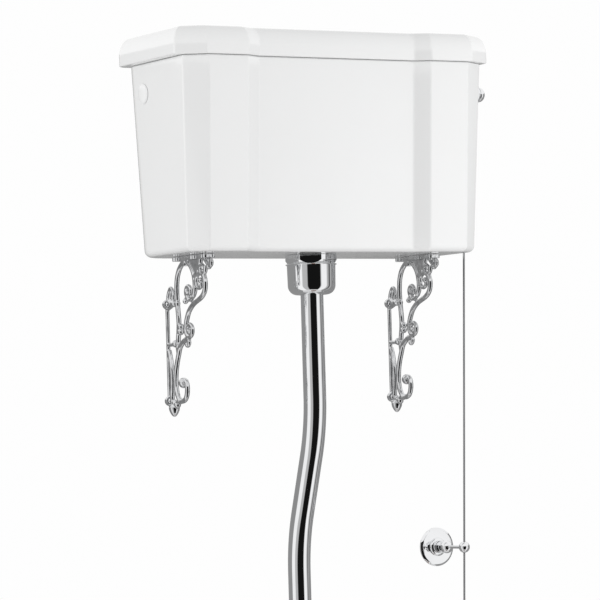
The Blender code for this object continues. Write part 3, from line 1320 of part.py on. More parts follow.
def pan_radii(half_width):
    return mirrored_radii((PAN_REAR_CORNER_RADIUS, half_width * PAN_SIDE_ROUND_SHARE,
                           half_width * PAN_FRONT_ROUND_SHARE))


def pan_ring(height, blend, inset=0.0):
    """The pan's outline between its foot, blend 0, and its rim, blend 1."""
    foot = (PAN_FOOT_HALF_WIDTH - PAN_FOOT_FLANGE,
            PAN_FOOT_HALF_WIDTH - PAN_FOOT_FLANGE - PAN_FOOT_NARROWING,
            PAN_FOOT_REAR + PAN_FOOT_FLANGE, PAN_FOOT_FRONT - PAN_FOOT_FLANGE)
    rim = (PAN_HALF_WIDTH, PAN_SHELF_HALF_WIDTH, PAN_REAR, PAN_FRONT)
    values = [low + (high - low) * blend for low, high in zip(foot, rim)]
    outline = rounded_outline(pan_corners(*values), pan_radii(values[0]), inset)
    return ring_at(outline, height)


def bowl_ring(depth_share, closing):
    """The bowl's inside, which closes towards a sump at the rear."""
    half_width = (PAN_HALF_WIDTH - PAN_RIM_WIDTH) * (1 - closing)
    sump = PAN_BOWL_REAR + TRAP_RADIUS * 1.6
    rear = PAN_BOWL_REAR + (sump - TRAP_RADIUS - PAN_BOWL_REAR) * closing
    front = PAN_FRONT - PAN_RIM_WIDTH
    front += (sump + TRAP_RADIUS - front) * closing
    corners = pan_corners(half_width, half_width * 0.75, rear, front)
    height = PAN_HEIGHT - (PAN_HEIGHT - PAN_BOWL_FLOOR) * depth_share
    return ring_at(rounded_outline(corners, pan_radii(half_width)), height)


def trap_route():
    """From the sump back over the weir and down into the outlet horn."""
    sump = PAN_BOWL_REAR + TRAP_RADIUS * 1.4
    weir = OUTLET_HORN_LEVEL + TRAP_RADIUS * 0.4
    points = [(sump, PAN_BOWL_FLOOR + TRAP_RADIUS * 1.1), (sump - TRAP_RADIUS, PAN_BOWL_FLOOR + TRAP_RADIUS),
              (sump - TRAP_RADIUS * 2, weir - TRAP_RADIUS * 0.5), (sump - TRAP_RADIUS * 3, weir),
              (sump - TRAP_RADIUS * 4, OUTLET_HORN_LEVEL), (OUTLET_HORN_DEPTH - OVERRUN, OUTLET_HORN_LEVEL)]
    return smooth_route([Vector((0, -depth, height)) for depth, height in points], 2)


def make_pan():
    rings = [pan_ring(0.0, 0.0, -PAN_FOOT_FLANGE),
             pan_ring(PAN_FLANGE_HEIGHT * 0.8, 0.0, -PAN_FOOT_FLANGE),
             pan_ring(PAN_FLANGE_HEIGHT, 0.0, -PAN_FOOT_FLANGE * 0.9),
             pan_ring(PAN_FLANGE_HEIGHT + TOUCH, 0.0)]
    for height_share, blend in PAN_PROFILE_SHARES:
        rings.append(pan_ring(PAN_HEIGHT * height_share, blend))
    edge = PAN_RIM_BAND / 8
    rings += [pan_ring(PAN_HEIGHT - PAN_RIM_BAND, 1.0, edge / 2),
              pan_ring(PAN_HEIGHT - PAN_RIM_BAND + edge, 1.0),
              pan_ring(PAN_HEIGHT - edge, 1.0),
              pan_ring(PAN_HEIGHT, 1.0, edge)]
    pan = loft("pan", rings)
    horn_inner = -(PAN_FOOT_REAR + TRAP_RADIUS * 1.5)
    join(pan, cylinder("horn", OUTLET_HORN_RADIUS, (0, horn_inner, OUTLET_HORN_LEVEL),
                       (0, -OUTLET_HORN_DEPTH, OUTLET_HORN_LEVEL)))
    bowl = loft("bowl", [ring_at(bowl_ring(0.0, 0.0), PAN_HEIGHT + OVERRUN)]
                + [bowl_ring(*share) for share in BOWL_PROFILE_SHARES])
    cut(pan, bowl, tube("trap", trap_route(), TRAP_RADIUS, PIPE_ROUNDING))
    hollow = [pan_ring(-OVERRUN, 0.0, PAN_HOLLOW_WALL - PAN_FOOT_FLANGE / 2),
              pan_ring(PAN_HOLLOW_HEIGHT, 0.0, PAN_HOLLOW_WALL)]
    cut(pan, loft("hollow", hollow))
    cut(pan, cylinder("flush_inlet", FLUSH_INLET_RADIUS, (0, -PAN_REAR + OVERRUN, FLUSH_INLET_LEVEL),
                      (0, -PAN_BOWL_REAR - PAN_RIM_WIDTH / 2, FLUSH_INLET_LEVEL)))
    for side in (-1, 1):
        bolt = side * HINGE_SPREAD
        cut(pan, cylinder("bolt_hole", HINGE_BOLT_RADIUS + THREAD_CLEARANCE,
                          (bolt, -HINGE_DEPTH, PAN_HEIGHT - HINGE_BOLT_LENGTH - OVERRUN),
                          (bolt, -HINGE_DEPTH, PAN_HEIGHT + OVERRUN), SMALL_STEPS))
        low = Vector((side * floor_screw_offset(), -FLOOR_SCREW_DEPTH, -OVERRUN))
        high = low + Vector((0, 0, PAN_FLANGE_HEIGHT + 2 * OVERRUN))
        cut(pan, cylinder("floor_hole", FLOOR_SCREW_RADIUS + THREAD_CLEARANCE, low, high, SMALL_STEPS))
    return pan


def floor_screw_offset():
    return PAN_FOOT_HALF_WIDTH - PAN_FOOT_FLANGE / 2


def add_pan(toilet):
    toilet.add(make_pan(), "toilet_pan", "ceramic")
    profile = round_head(FLOOR_SCREW_HEAD_RADIUS, FLOOR_SCREW_HEAD_HEIGHT, FLOOR_SCREW_RADIUS,
                         PAN_FLANGE_HEIGHT - TOUCH)
    for side, word in ((-1, "left"), (1, "right")):
        place = (side * floor_screw_offset(), -FLOOR_SCREW_DEPTH, PAN_FLANGE_HEIGHT + 2 * TOUCH)
        toilet.add(turned("screw", profile, place, steps=SCREW_STEPS), "floor_screw_" + word, "chrome")


# Seat

def seat_outline(height, inset):
    """The seat's outer outline, made smaller by the inset."""
    half_width = PAN_HALF_WIDTH * SEAT_WIDTH_SHARE
    rear = HINGE_DEPTH + SEAT_REAR_GAP
    corners = pan_corners(half_width, half_width * 0.72, rear, PAN_FRONT + SEAT_FRONT_OVERHANG)
    return ring_at(rounded_outline(corners, pan_radii(half_width), inset), height)


def make_seat():
    low = PAN_HEIGHT + BUFFER_HEIGHT
    high = low + SEAT_THICKNESS
    rings = []
    for height, inset in ((low, SEAT_ROUND), (low + SEAT_ROUND, 0.0), (high - SEAT_ROUND, 0.0),
                          (high, SEAT_ROUND), (high, SEAT_RING_WIDTH - SEAT_ROUND),
                          (high - SEAT_ROUND, SEAT_RING_WIDTH), (low + SEAT_ROUND, SEAT_RING_WIDTH),
                          (low, SEAT_RING_WIDTH - SEAT_ROUND)):
        rings.append(seat_outline(height, inset))
    return loft("seat", rings, closed=True)


def hinge_axis(across=0.0):
    return Vector((across, -HINGE_DEPTH, PAN_HEIGHT + HINGE_HEIGHT))


def make_post(across):
    """A stud with a foot on the pan and an eye round the hinge bar."""
    centre = hinge_axis(across)
    top = centre.z - PAN_HEIGHT
    profile = [(0.0, top),
               (HINGE_POST_RADIUS * 0.7, top),
               (HINGE_POST_RADIUS * 0.7, TOUCH + HINGE_FOOT_HEIGHT),
               (HINGE_FOOT_RADIUS, TOUCH + HINGE_FOOT_HEIGHT),
               (HINGE_FOOT_RADIUS, TOUCH),
               (HINGE_BOLT_RADIUS, TOUCH),
               (HINGE_BOLT_RADIUS, -HINGE_BOLT_LENGTH),
               (0.0, -HINGE_BOLT_LENGTH)]
    post = turned("post", profile, (across, -HINGE_DEPTH, PAN_HEIGHT), steps=16)
    half = Vector((HINGE_POST_RADIUS * 0.75, 0, 0))
    join(post, cylinder("eye", HINGE_POST_RADIUS, centre - half, centre + half, 20))
    return cut(post, cylinder("bore", HINGE_BAR_RADIUS + TOUCH, centre - 2 * half, centre + 2 * half, 16))


def make_leaf(across):
    """A strap on the seat that rolls into a knuckle round the hinge bar."""
    centre = hinge_axis(across)
    half = Vector((HINGE_KNUCKLE_LENGTH / 2, 0, 0))
    leaf = cylinder("knuckle", HINGE_KNUCKLE_RADIUS, centre - half, centre + half, 20)
    top = PAN_HEIGHT + BUFFER_HEIGHT + SEAT_THICKNESS + TOUCH
    width = LEAF_WIDTH / 2
    strap = block("strap", (across - width, -HINGE_DEPTH - LEAF_LENGTH, top),
                  (across + width, -HINGE_DEPTH - TOUCH, top + LEAF_THICKNESS))
    neck = block("neck", (across - width, -HINGE_DEPTH - HINGE_KNUCKLE_RADIUS - TOUCH, centre.z),
                 (across + width, -HINGE_DEPTH - TOUCH, top + LEAF_THICKNESS - TOUCH))
    join(leaf, strap, neck)
    return cut(leaf, cylinder("bore", HINGE_BAR_RADIUS + RUNNING, centre - 2 * half, centre + 2 * half, 16))


def add_seat(toilet):
    axis = hinge_axis()
    toilet.add(make_seat(), "seat_ring", "wood", axis)
    span = HINGE_SPREAD + HINGE_POST_RADIUS
    bar = cylinder("bar", HINGE_BAR_RADIUS, hinge_axis(-span), hinge_axis(span), RING_STEPS)
    toilet.add(bar, "hinge_bar", "chrome")
    middle = SEAT_RING_WIDTH / 2
    rear_half = PAN_HALF_WIDTH * SEAT_WIDTH_SHARE - middle
    length = PAN_FRONT - HINGE_DEPTH
    for side, word in ((-1, "left"), (1, "right")):
        toilet.add(make_post(side * HINGE_SPREAD), "hinge_post_" + word, "chrome")
        toilet.add(make_leaf(side * HINGE_KNUCKLE_OFFSET), "seat_hinge_" + word, "chrome", axis)
        for place, depth, across in (("front", HINGE_DEPTH + length * 0.70, rear_half * 0.97),
                                     ("rear", HINGE_DEPTH + length * 0.30, rear_half)):
            foot = Vector((side * across, -depth, PAN_HEIGHT + TOUCH))
            head = foot + Vector((0, 0, BUFFER_HEIGHT - 2 * TOUCH))
            pad = cylinder("pad", BUFFER_RADIUS, foot, head, SMALL_STEPS)
            toilet.add(pad, "seat_buffer_{}_{}".format(place, word), "white_rubber", axis)


def middle_of_box():
    """How far the set-out frame moves so that the object's box stands centred on the origin."""
    right = rod_offset() + ROSE_RADIUS
    left = TANK_HALF_WIDTH + LID_SIDE_OVERHANG
    front = PAN_FRONT + SEAT_FRONT_OVERHANG
    return Vector(((left - right) / 2, front / 2, 0))


def main():
    for old in list(bpy.data.objects):
        bpy.data.objects.remove(old)
    toilet = Assembly("high_level_toilet", middle_of_box())
    add_cistern(toilet)
    add_flush_valve(toilet)
    add_inlet(toilet)
    add_lever(toilet)
    add_guide(toilet)
    add_brackets(toilet)
    add_flush_pipe(toilet)
    add_pan(toilet)
    add_seat(toilet)


main()
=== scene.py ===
"""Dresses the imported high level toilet: its finer pieces, their materials, the studio and the camera.

Pieces are set out as the solids are, in metres: +X to the right, +Z up from the floor and the wall in
the plane Y = 0, so a piece's distance from the wall is its reach towards -Y. PLACE then carries every
piece to the frame, in which the whole object's box stands centred over the origin.
"""
import math

import bmesh
import bpy
from mathutils import Matrix, Vector


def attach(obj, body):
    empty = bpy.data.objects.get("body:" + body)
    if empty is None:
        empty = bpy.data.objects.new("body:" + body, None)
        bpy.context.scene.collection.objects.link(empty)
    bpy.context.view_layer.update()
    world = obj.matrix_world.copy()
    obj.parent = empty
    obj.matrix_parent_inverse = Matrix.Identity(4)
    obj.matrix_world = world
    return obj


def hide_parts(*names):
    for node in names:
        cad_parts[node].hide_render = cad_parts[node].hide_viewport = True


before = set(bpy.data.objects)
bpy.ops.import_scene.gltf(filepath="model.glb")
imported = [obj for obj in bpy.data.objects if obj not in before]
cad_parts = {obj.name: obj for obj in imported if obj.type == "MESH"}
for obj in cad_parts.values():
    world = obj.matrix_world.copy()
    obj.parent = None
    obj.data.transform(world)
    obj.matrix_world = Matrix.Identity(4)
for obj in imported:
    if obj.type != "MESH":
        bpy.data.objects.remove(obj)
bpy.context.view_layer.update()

PLACE = Vector((-0.0140035, 0.302, 0.0))
TOUCH = 0.0003
RUNNING = 0.0005
OVERRUN = 0.004
THREAD_CLEARANCE = 0.001
FINE_EDGE = 0.0007
PLAIN_EDGE = 0.0008
QUARTER = math.pi / 2
OUTWARDS = (0, -1, 0)
REARWARDS = (0, 1, 0)
RIGHTWARDS = (1, 0, 0)
SIDES = ((-1, "left"), (1, "right"))

# Camera, fitted to the straight edges of the photograph
CAMERA_PLACE = Vector((-2.6218, -4.4301, 1.5093))
CAMERA_TURN = math.radians(29.18)
CAMERA_PITCH = math.radians(2.45)
CAMERA_ROLL = math.radians(1.62)
CAMERA_LENS = 226.9
CAMERA_SENSOR_WIDTH = 36.0

# What polished metal reflects around the object: (degrees to the right of the direction to the camera,
# grey), with straight changes between them
STUDIO_RING = ((-180, 0.30), (-83, 0.30), (-79, 1.00), (-48, 1.00), (-44, 0.52), (-22, 0.52), (-18, 0.008),
               (44, 0.008), (51, 1.00), (79, 1.00), (83, 0.48), (92, 0.48), (94, 0.10), (102, 0.10),
               (104, 0.48), (110, 0.48), (114, 0.28), (180, 0.28))
RING_TURN = math.radians(-120)
RING_PLACE = (0, 0.1, 0)
# Its outline, from the top down to the floor: (distance from the middle, height)
RING_PROFILE = ((3.0, 2.5), (3.0, 0.8), (0.9, 0.02))
SOFT_LIGHT = 0.77
BACKGROUND = 0.99
FLOOR_BOUNCE = 0.9
# The lamps: (name, place, what it is aimed at, size, watts)
LAMPS = (("key", (1.35, -1.45, 1.5), (0, 0.1, 1.9), 0.8, 18.5),
         ("fill", (-3.0, 0.2, 1.8), (0, 0.1, 1.9), 1.0, 28))

# Cistern and lid
CISTERN_LEVEL = 1.800
TANK_HEIGHT = 0.268
TANK_HALF_WIDTH = 0.2385
TANK_DEPTH = 0.199
TANK_SIDE_DEPTH = 0.179
WING_HALF_WIDTH = 0.207
PANEL_HALF_WIDTH = 0.124
PANEL_STEP_WIDTH = 0.0215
PANEL_RECESS = 0.011
SIDE_TAPER = 0.0085
WING_TAPER = 0.0015
FRONT_TAPER = 0.0165
TANK_WALL = 0.011
TANK_FLOOR = 0.013
TANK_REAR_RADIUS = 0.032
TANK_REAR_RADIUS_BELOW = 0.046
TANK_BOTTOM_RADIUS = 0.009
TANK_INNER_RADIUS = 0.014
CANT_RADIUS = 0.005
STEP_RADIUS = 0.012
TANK_RIM_RADIUS = 0.003
LID_HEIGHT = 0.0415
LID_SIDE_OVERHANG = 0.012
LID_WING_OVERHANG = 0.0055
LID_FRONT_OVERHANG = 0.003
LID_REAR_RADIUS = 0.015
LID_ROUND_ACROSS = 0.018
LID_ROUND_UP = 0.026
LID_EDGE = 0.002
LID_TOP_THICKNESS = 0.010
LID_LIP_DROP = 0.008
LID_LIP_WALL = 0.009
LID_LIP_CLEARANCE = 0.003
LID_CROWN = 0.0015
LID_LEVEL = CISTERN_LEVEL + TANK_HEIGHT + TOUCH
TANK_CORNER_STEPS = (16, 8, 8, 14, 14, 14, 14, 8, 8, 16)

# Holes and fixings of the cistern; a screw's head is (radius, height)
SCREW_SPREAD = 0.100
SCREW_HEIGHT = 0.236
SCREW_RADIUS = 0.003
SCREW_HEAD = (0.0075, 0.004)
SLOT_HALF_WIDTH_SHARE = 0.09
SLOT_FLOOR_SHARE = 0.5
SIDE_CAP_DEPTH = 0.058
SIDE_CAP_RADIUS = 0.014
SIDE_CAP_FLANGE = 0.00125
SIDE_CAP_CROWN = 0.003
SIDE_CAP_CROWN_RADIUS = SIDE_CAP_RADIUS * 0.93
SIDE_CAP_STEM_RADIUS = 0.0095
SIDE_CAP_STEM_PROJECTION = 0.01
TAIL_RADIUS = 0.0205
INLET_OFFSET = 0.165
INLET_HEIGHT = 0.212
INLET_TAIL_RADIUS = 0.007
FLOAT_PIN_DEPTH = 0.076
FLOAT_RADIUS = 0.034
FLOAT_SEAM_SHARE = 0.985
FLOAT_REACH = 0.090
FLOAT_DROP_ANGLE = math.radians(40)

# Cup nut and flush pipe
OUTLET_DEPTH = 0.097
NUT_ACROSS_FLATS = 0.0655
NUT_TURN = math.radians(30)
NUT_CORNER_RADIUS = 0.0361
NUT_CHAMFER_RADIUS = 0.0329
NUT_CHAMFER_TOP = 0.0078
NUT_HEX_HEIGHT = 0.0128
NUT_RIM_HEIGHT = 0.0014
NUT_CUP_RADIUS = 0.0342
NUT_CUP_RADIUS_BELOW = 0.0336
NUT_HEIGHT = 0.056
NUT_CUP_ROUND = 0.013
PIPE_RADIUS = 0.016
PIPE_WALL = 0.0015
PIPE_WALL_DEPTH = 0.038
PIPE_SET_BACK = OUTLET_DEPTH - PIPE_WALL_DEPTH
PIPE_TOP_DROP = 0.033
PIPE_BEND_DROP = 0.200
PIPE_BEND_RADIUS = 0.240
PIPE_BEND_SHARE = 0.5
PIPE_BEND_ANGLE = math.acos(1 - PIPE_BEND_SHARE * PIPE_SET_BACK / (2 * PIPE_BEND_RADIUS))
PIPE_JOINT_LEVEL = 0.950
PIPE_ELBOW_RADIUS = 0.050
COUPLING_RADIUS = 0.0225
COUPLING_LENGTH = 0.050
COUPLING_COLLAR_SHARE = 0.55
CLIP_LEVEL = 1.180
CLIP_HEIGHT = 0.014
CLIP_WALL = 0.004
CLIP_EDGE = 0.0009
CLIP_STEM_RADIUS = 0.004
CLIP_BASE_RADIUS = 0.016
CLIP_BASE_HEIGHT = 0.004
FLUSH_INLET_LEVEL = 0.345
FLUSH_INLET_RADIUS = 0.021
CONE_FLANGE_RADIUS = 0.028
CONE_FLANGE_LENGTH = 0.014
CONE_FLANGE_EDGE = 0.003
CONE_WALL = 0.004
CONE_PLUG_LENGTH = 0.016

# Lever, pull rod and guide
SPINDLE_DEPTH = 0.155
SPINDLE_HEIGHT = 0.226
SPINDLE_RADIUS = 0.005
BUSH_FLANGE_RADIUS = 0.017
BUSH_FLANGE_HEIGHT = 0.004
BUSH_THREAD_RADIUS = 0.0105
BUSH_LENGTH = 0.024
CRANK_LENGTH = 0.042
CRANK_THICKNESS = 0.0053
CRANK_HUB_RADIUS = 0.010
CRANK_BOSS_RADIUS = 0.0055
CRANK_PIN_RADIUS = 0.0025
CRANK_PIN_HEAD_RADIUS = 0.004
CRANK_PIN_HEAD_HEIGHT = 0.0016
LEVER_REST_ANGLE = math.radians(10)
DOME_RADIUS = 0.0105
DOME_HEIGHT = 0.0098
DOME_RIM = 0.002
EYE_THICKNESS = 0.0044
EYE_RADIUS = 0.0075
EYE_PLAY = 0.0012
EYE_SOCKET_RADIUS = 0.0021
EYE_SOCKET_LENGTH = 0.016
ROD_RADIUS = 0.0015
HANDLE_LEVEL = 1.190
FERRULE_RADIUS = 0.0065
FERRULE_LENGTH = 0.018
FERRULE_SHARES = ((0.0, 0.0), (0.45, 0.0), (0.52, 0.2), (0.62, 0.38), (0.95, 0.5), (1.0, 0.58),
                  (1.0, 0.72), (0.9, 0.76), (1.0, 0.82))
HANDLE_RADIUS = 0.0165
HANDLE_LENGTH = 0.092
GUIDE_DROP = 0.420
ROSE_RADIUS = 0.028
ROSE_HEIGHT = 0.0035
ROSE_BOSS_RADIUS = 0.0135
ROSE_BOSS_HEIGHT = 0.013
ROSE_SOCKET_DEPTH = 0.004
ROSE_CHAMFER_WIDTH = 0.0030
ROSE_CHAMFER_HEIGHT = 0.00205
ROSE_STEP_HEIGHT = 0.0078
ROSE_COLLAR_RADIUS = 0.0098
GUIDE_NECK_RADIUS = 0.0085
GUIDE_NECK_DEPTH = 0.0205
GUIDE_GROOVE_RADIUS = 0.0066
ROSE_SCREW_OFFSET = 0.0207
ROSE_SCREW_RADIUS = 0.002
ROSE_SCREW_HEAD = (0.0036, 0.0011)
GUIDE_BALL_RADIUS = 0.0092
GUIDE_BALL_DEPTH = 0.029
GUIDE_ARM_RADIUS = 0.0023
GUIDE_EYE_RADIUS = 0.008
GUIDE_EYE_DEPTH = 0.078
GUIDE_HOLE_RADIUS = 0.0018

# Brackets, as shares of their reach and their drop
BRACKET_OFFSET = 0.181
BRACKET_REACH = 0.145
BRACKET_DROP = 0.226
PLATE_REAR = 0.036
PLATE_FRONT_SHARE = 0.935
PLATE_WIDTH = 0.0118
PLATE_THICKNESS = 0.006
LOBE_RADIUS = 0.0042
LOBE_INSET = 0.0009
COLLAR_HALF_WIDTH = 0.0044
COLLAR_HALF_DEPTH = 0.0046
COLLAR_DROP = 0.0135
STRAND_RADIUS = 0.0036
BAR_RADIUS = 0.0029
CURL_RADIUS = 0.0033
TENDRIL_RADIUS = 0.0026
BUD_RADIUS = 0.0041
BEAD_RADIUS = 0.0048
LINK_BALL_RADIUS = 0.0054
HOOK_BALL_RADIUS = 0.0074
TIP_LENGTH_SHARE = 0.8
BAR_THICKNESS = 0.0058
BAR_SHARES = (0.265, 0.915)
PAD_RADIUS = 0.0068
PAD_SHARES = (0.285, 0.885)
TIP_RADIUS = 0.0077
TIP_TOP_SHARE = 0.925
TIP_REACH_SHARE = 0.115
BRACKET_SCREW_RADIUS = 0.0020
BRACKET_SCREW_HEAD = (0.0042, 0.0028)
BRACKET_SCREW_LENGTH = 0.0050
CASTING_VOXEL = 0.0006
CASTING_FACES_KEPT = 0.4
LOBE_SHARES = (0.283, 0.337, 0.640, 0.690, 0.860, 0.908)
COLLAR_SHARE = 0.425
STRAND_SHARES = {
    "back_arc": (
        (0.42, 0.02), (0.315, 0.065), (0.262, 0.11), (0.238, 0.16), (0.232, 0.22), (0.238, 0.28),
        (0.25, 0.34), (0.26, 0.40), (0.255, 0.45), (0.24, 0.50), (0.23, 0.55), (0.24, 0.59)),
    "front_arc": (
        (0.43, 0.02), (0.50, 0.045), (0.555, 0.075), (0.595, 0.115), (0.615, 0.165), (0.61, 0.215),
        (0.575, 0.25)),
    "main_scroll": (
        (0.80, 0.125), (0.826, 0.168), (0.82, 0.213), (0.787, 0.243), (0.73, 0.265), (0.66, 0.28),
        (0.59, 0.295), (0.53, 0.315), (0.48, 0.34), (0.445, 0.37), (0.415, 0.41), (0.40, 0.46)),
    "stem": (
        (0.465, 0.505), (0.38, 0.515), (0.32, 0.535), (0.27, 0.56), (0.235, 0.605), (0.20, 0.655),
        (0.175, 0.71), (0.165, 0.775), (0.18, 0.83), (0.215, 0.87), (0.265, 0.888), (0.325, 0.888),
        (0.375, 0.868), (0.40, 0.825), (0.39, 0.782), (0.35, 0.762)),
    "strut": ((0.745, 0.015), (0.73, 0.06), (0.68, 0.10), (0.62, 0.13)),
    "tail": (
        (0.035, 0.57), (0.06, 0.61), (0.085, 0.68), (0.095, 0.75), (0.09, 0.82), (0.08, 0.88),
        (0.115, 0.925)),
    "foot": ((0.115, 0.92), (0.17, 0.905), (0.24, 0.885)),
}
TENDRIL_SHARES = {
    "front_curl": ((0.60, 0.23), (0.57, 0.256), (0.52, 0.268), (0.48, 0.264)),
    "inner_leaf": ((0.55, 0.28), (0.48, 0.264), (0.42, 0.262), (0.41, 0.276)),
    "bud_stem": ((0.79, 0.015), (0.86, 0.05), (0.91, 0.08)),
    "finial": (
        (0.035, 0.27), (0.045, 0.235), (0.07, 0.205), (0.105, 0.185), (0.14, 0.20), (0.155, 0.24),
        (0.15, 0.28)),
    "finial_vein": ((0.11, 0.19), (0.105, 0.225), (0.08, 0.27)),
    "link_above": ((0.04, 0.256), (0.11, 0.268), (0.17, 0.280), (0.24, 0.283)),
    "link_below": ((0.04, 0.314), (0.11, 0.300), (0.17, 0.286), (0.24, 0.286)),
    "middle_link": ((0.035, 0.537), (0.235, 0.537)),
}
# The curls: (share of the reach, share of the drop, first and last radius as shares of the reach, the
# share of a turn at which it starts and how many turns it makes)
CURL_SHARES = {
    "inner_curl": (0.480, 0.216, 0.062, 0.026, 0.75, -1.15),
    "arch_curl": (0.712, 0.170, 0.103, 0.030, 0.00, 1.10),
    "upper_bud": (0.935, 0.052, 0.042, 0.020, 0.60, 0.75),
    "lower_bud": (0.775, 0.086, 0.070, 0.022, 0.05, -1.00),
    "knot_curl": (0.480, 0.453, 0.079, 0.026, 0.50, 1.30),
    "leaf_curl": (0.437, 0.535, 0.034, 0.018, 0.30, -0.60),
}
BEAD_SHARES = ((0.110, 0.280), (0.172, 0.284), (0.298, 0.430), (0.292, 0.462),
               (0.070, 0.918), (0.135, 0.897), (0.185, 0.912), (0.250, 0.888))
LINK_BALL_SHARES = (0.185, 0.533)
# The flat web that fills the corner between the front arc and the strut
WEB_THICKNESS = 0.0030
WEB_SHARES = ((0.44, 0.02), (0.50, 0.045), (0.555, 0.075), (0.60, 0.125), (0.67, 0.105), (0.72, 0.065),
              (0.735, 0.02))
HOOK_BALL_SHARES = (0.325, 0.778)

# Pan and seat
PAN_HEIGHT = 0.400
PAN_REAR = 0.125
PAN_FRONT = 0.600
PAN_HALF_WIDTH = 0.1825
PAN_SHELF_HALF_WIDTH = 0.100
PAN_FOOT_REAR = 0.150
PAN_FOOT_FRONT = 0.470
PAN_FOOT_HALF_WIDTH = 0.115
PAN_FOOT_FLANGE = 0.022
PAN_FOOT_NARROWING = 0.020
PAN_REAR_CORNER_RADIUS = 0.020
PAN_SHOULDER_SHARE = 0.36
PAN_SIDE_ROUND_SHARE = 0.70
PAN_FRONT_ROUND_SHARE = 0.97
PAN_FLANGE_HEIGHT = 0.018
PAN_RIM_WIDTH = 0.042
PAN_RIM_BAND = 0.040
PAN_RIM_ROUND = 0.006
PAN_BOWL_REAR = 0.235
PAN_BOWL_FLOOR = 0.125
TRAP_RADIUS = 0.036
OUTLET_HORN_RADIUS = 0.051
OUTLET_HORN_LEVEL = 0.185
OUTLET_HORN_DEPTH = 0.085
PAN_CORNER_STEPS = (8, 14, 30, 30, 14, 8)
PAN_PROFILE_SHARES = ((0.10, 0.00), (0.28, -0.02), (0.45, 0.10), (0.60, 0.32), (0.72, 0.58), (0.82, 0.84),
                      (0.895, 0.985))
BOWL_PROFILE_SHARES = ((0.00, 0.00), (0.15, 0.03), (0.35, 0.15), (0.55, 0.35), (0.78, 0.61), (1.00, 0.86))
FLOOR_SCREW_DEPTH = 0.310
FLOOR_SCREW_RADIUS = 0.003
FLOOR_SCREW_HEAD = (0.007, 0.006)
SEAT_WIDTH_SHARE = 1.02
SEAT_RING_WIDTH = 0.070
SEAT_THICKNESS = 0.018
SEAT_ROUND = 0.006
SEAT_FRONT_OVERHANG = 0.004
SEAT_REAR_GAP = 0.014
BUFFER_HEIGHT = 0.008
BUFFER_RADIUS = 0.008
BUFFER_EDGE = 0.001
HINGE_DEPTH = 0.172
HINGE_SPREAD = 0.078
HINGE_HEIGHT = 0.018
HINGE_BAR_RADIUS = 0.0045
HINGE_BAR_EDGE = 0.001
HINGE_KNUCKLE_RADIUS = 0.0095
HINGE_KNUCKLE_LENGTH = 0.030
HINGE_KNUCKLE_OFFSET = 0.046
HINGE_POST_RADIUS = 0.008
HINGE_FOOT_RADIUS = 0.014
HINGE_FOOT_HEIGHT = 0.003
LEAF_THICKNESS = 0.003
LEAF_LENGTH = 0.055
LEAF_WIDTH = 0.028


# Helpers for outlines and profiles

def sweep(last, steps, first=0.0):
    """(sine, cosine) of evenly spaced angles from the first to the last."""
    for step in range(steps + 1):
        angle = first + (last - first) * step / steps
        yield math.sin(angle), math.cos(angle)


def quarter(radius, steps):
    """(across, up) along a quarter circle, from a flat start to an upright end."""
    return [(radius * (1 - sine), radius * (1 - cosine)) for sine, cosine in sweep(QUARTER, steps)]


def dome(width, low, high, steps, inner=0.0):
    """(radius, height) down a quarter of an ellipse, from high at the inner radius out to low."""
    return [(inner + width * sine, low + (high - low) * cosine) for sine, cosine in sweep(QUARTER, steps)]


def offset_outline(corners, inset):
    """Moves every side of a counterclockwise outline inwards by the inset, with mitred corners."""
    moved = []
    for index, corner in enumerate(corners):
        before = (corner - corners[index - 1]).normalized()
        after = (corners[(index + 1) % len(corners)] - corner).normalized()
        first = Vector((-before.y, before.x))
        second = Vector((-after.y, after.x))
        moved.append(corner + (first + second) * inset / (1 + first.dot(second)))
    return moved


def rounded_outline(corners, radii, steps, inset=0.0):
    """Fillets an inset outline; a fillet is limited by the sides that it joins."""
    corners = offset_outline(corners, inset)
    outline = []
    for index, corner in enumerate(corners):
        back = corners[index - 1] - corner
        ahead = corners[(index + 1) % len(corners)] - corner
        convex = ahead.x * back.y - ahead.y * back.x > 0
        radius = max(radii[index] - inset, TOUCH) if convex else radii[index] + inset
        half = back.angle(ahead) / 2
        tangent = min(radius / math.tan(half), back.length * 0.48, ahead.length * 0.48)
        start = corner + back.normalized() * tangent
        end = corner + ahead.normalized() * tangent
        centre = corner + (back.normalized() + ahead.normalized()).normalized() * tangent / math.cos(half)
        turn = (start - centre).angle_signed(end - centre)
        for step in range(steps[index] + 1):
            arm = start - centre
            arm.rotate(Matrix.Rotation(-turn * step / steps[index], 2))
            outline.append(centre + arm)
    return outline


def mirrored_corners(right_half):
    left = [Vector((-across, -depth)) for across, depth in right_half]
    right = [Vector((across, -depth)) for across, depth in reversed(right_half)]
    return left + right


def mirrored(values):
    return list(values) + list(reversed(values))


def ring_at(outline, height):
    return [Vector((point.x, point.y, height)) for point in outline]


def smooth_route(points, count):
    """Points along a smooth curve through the given points, with count steps between neighbours."""
    route = []
    last = len(points) - 1
    for index in range(last):
        before, start = points[max(index - 1, 0)], points[index]
        end, after = points[index + 1], points[min(index + 2, last)]
        for step in range(count):
            share = step / count
            route.append(0.5 * (2 * start + (end - before) * share
                                + (2 * before - 5 * start + 4 * end - after) * share ** 2
                                + (3 * start - before - 3 * end + after) * share ** 3))
    route.append(points[last])
    return route


def smooth_shares(shares, count):
    return [point[:2] for point in smooth_route([Vector((*pair, 0)) for pair in shares], count)]


def scaled(shares, radius, length):
    """A profile from shares of a radius and of a length."""
    return [(across * radius, up * length) for across, up in shares]


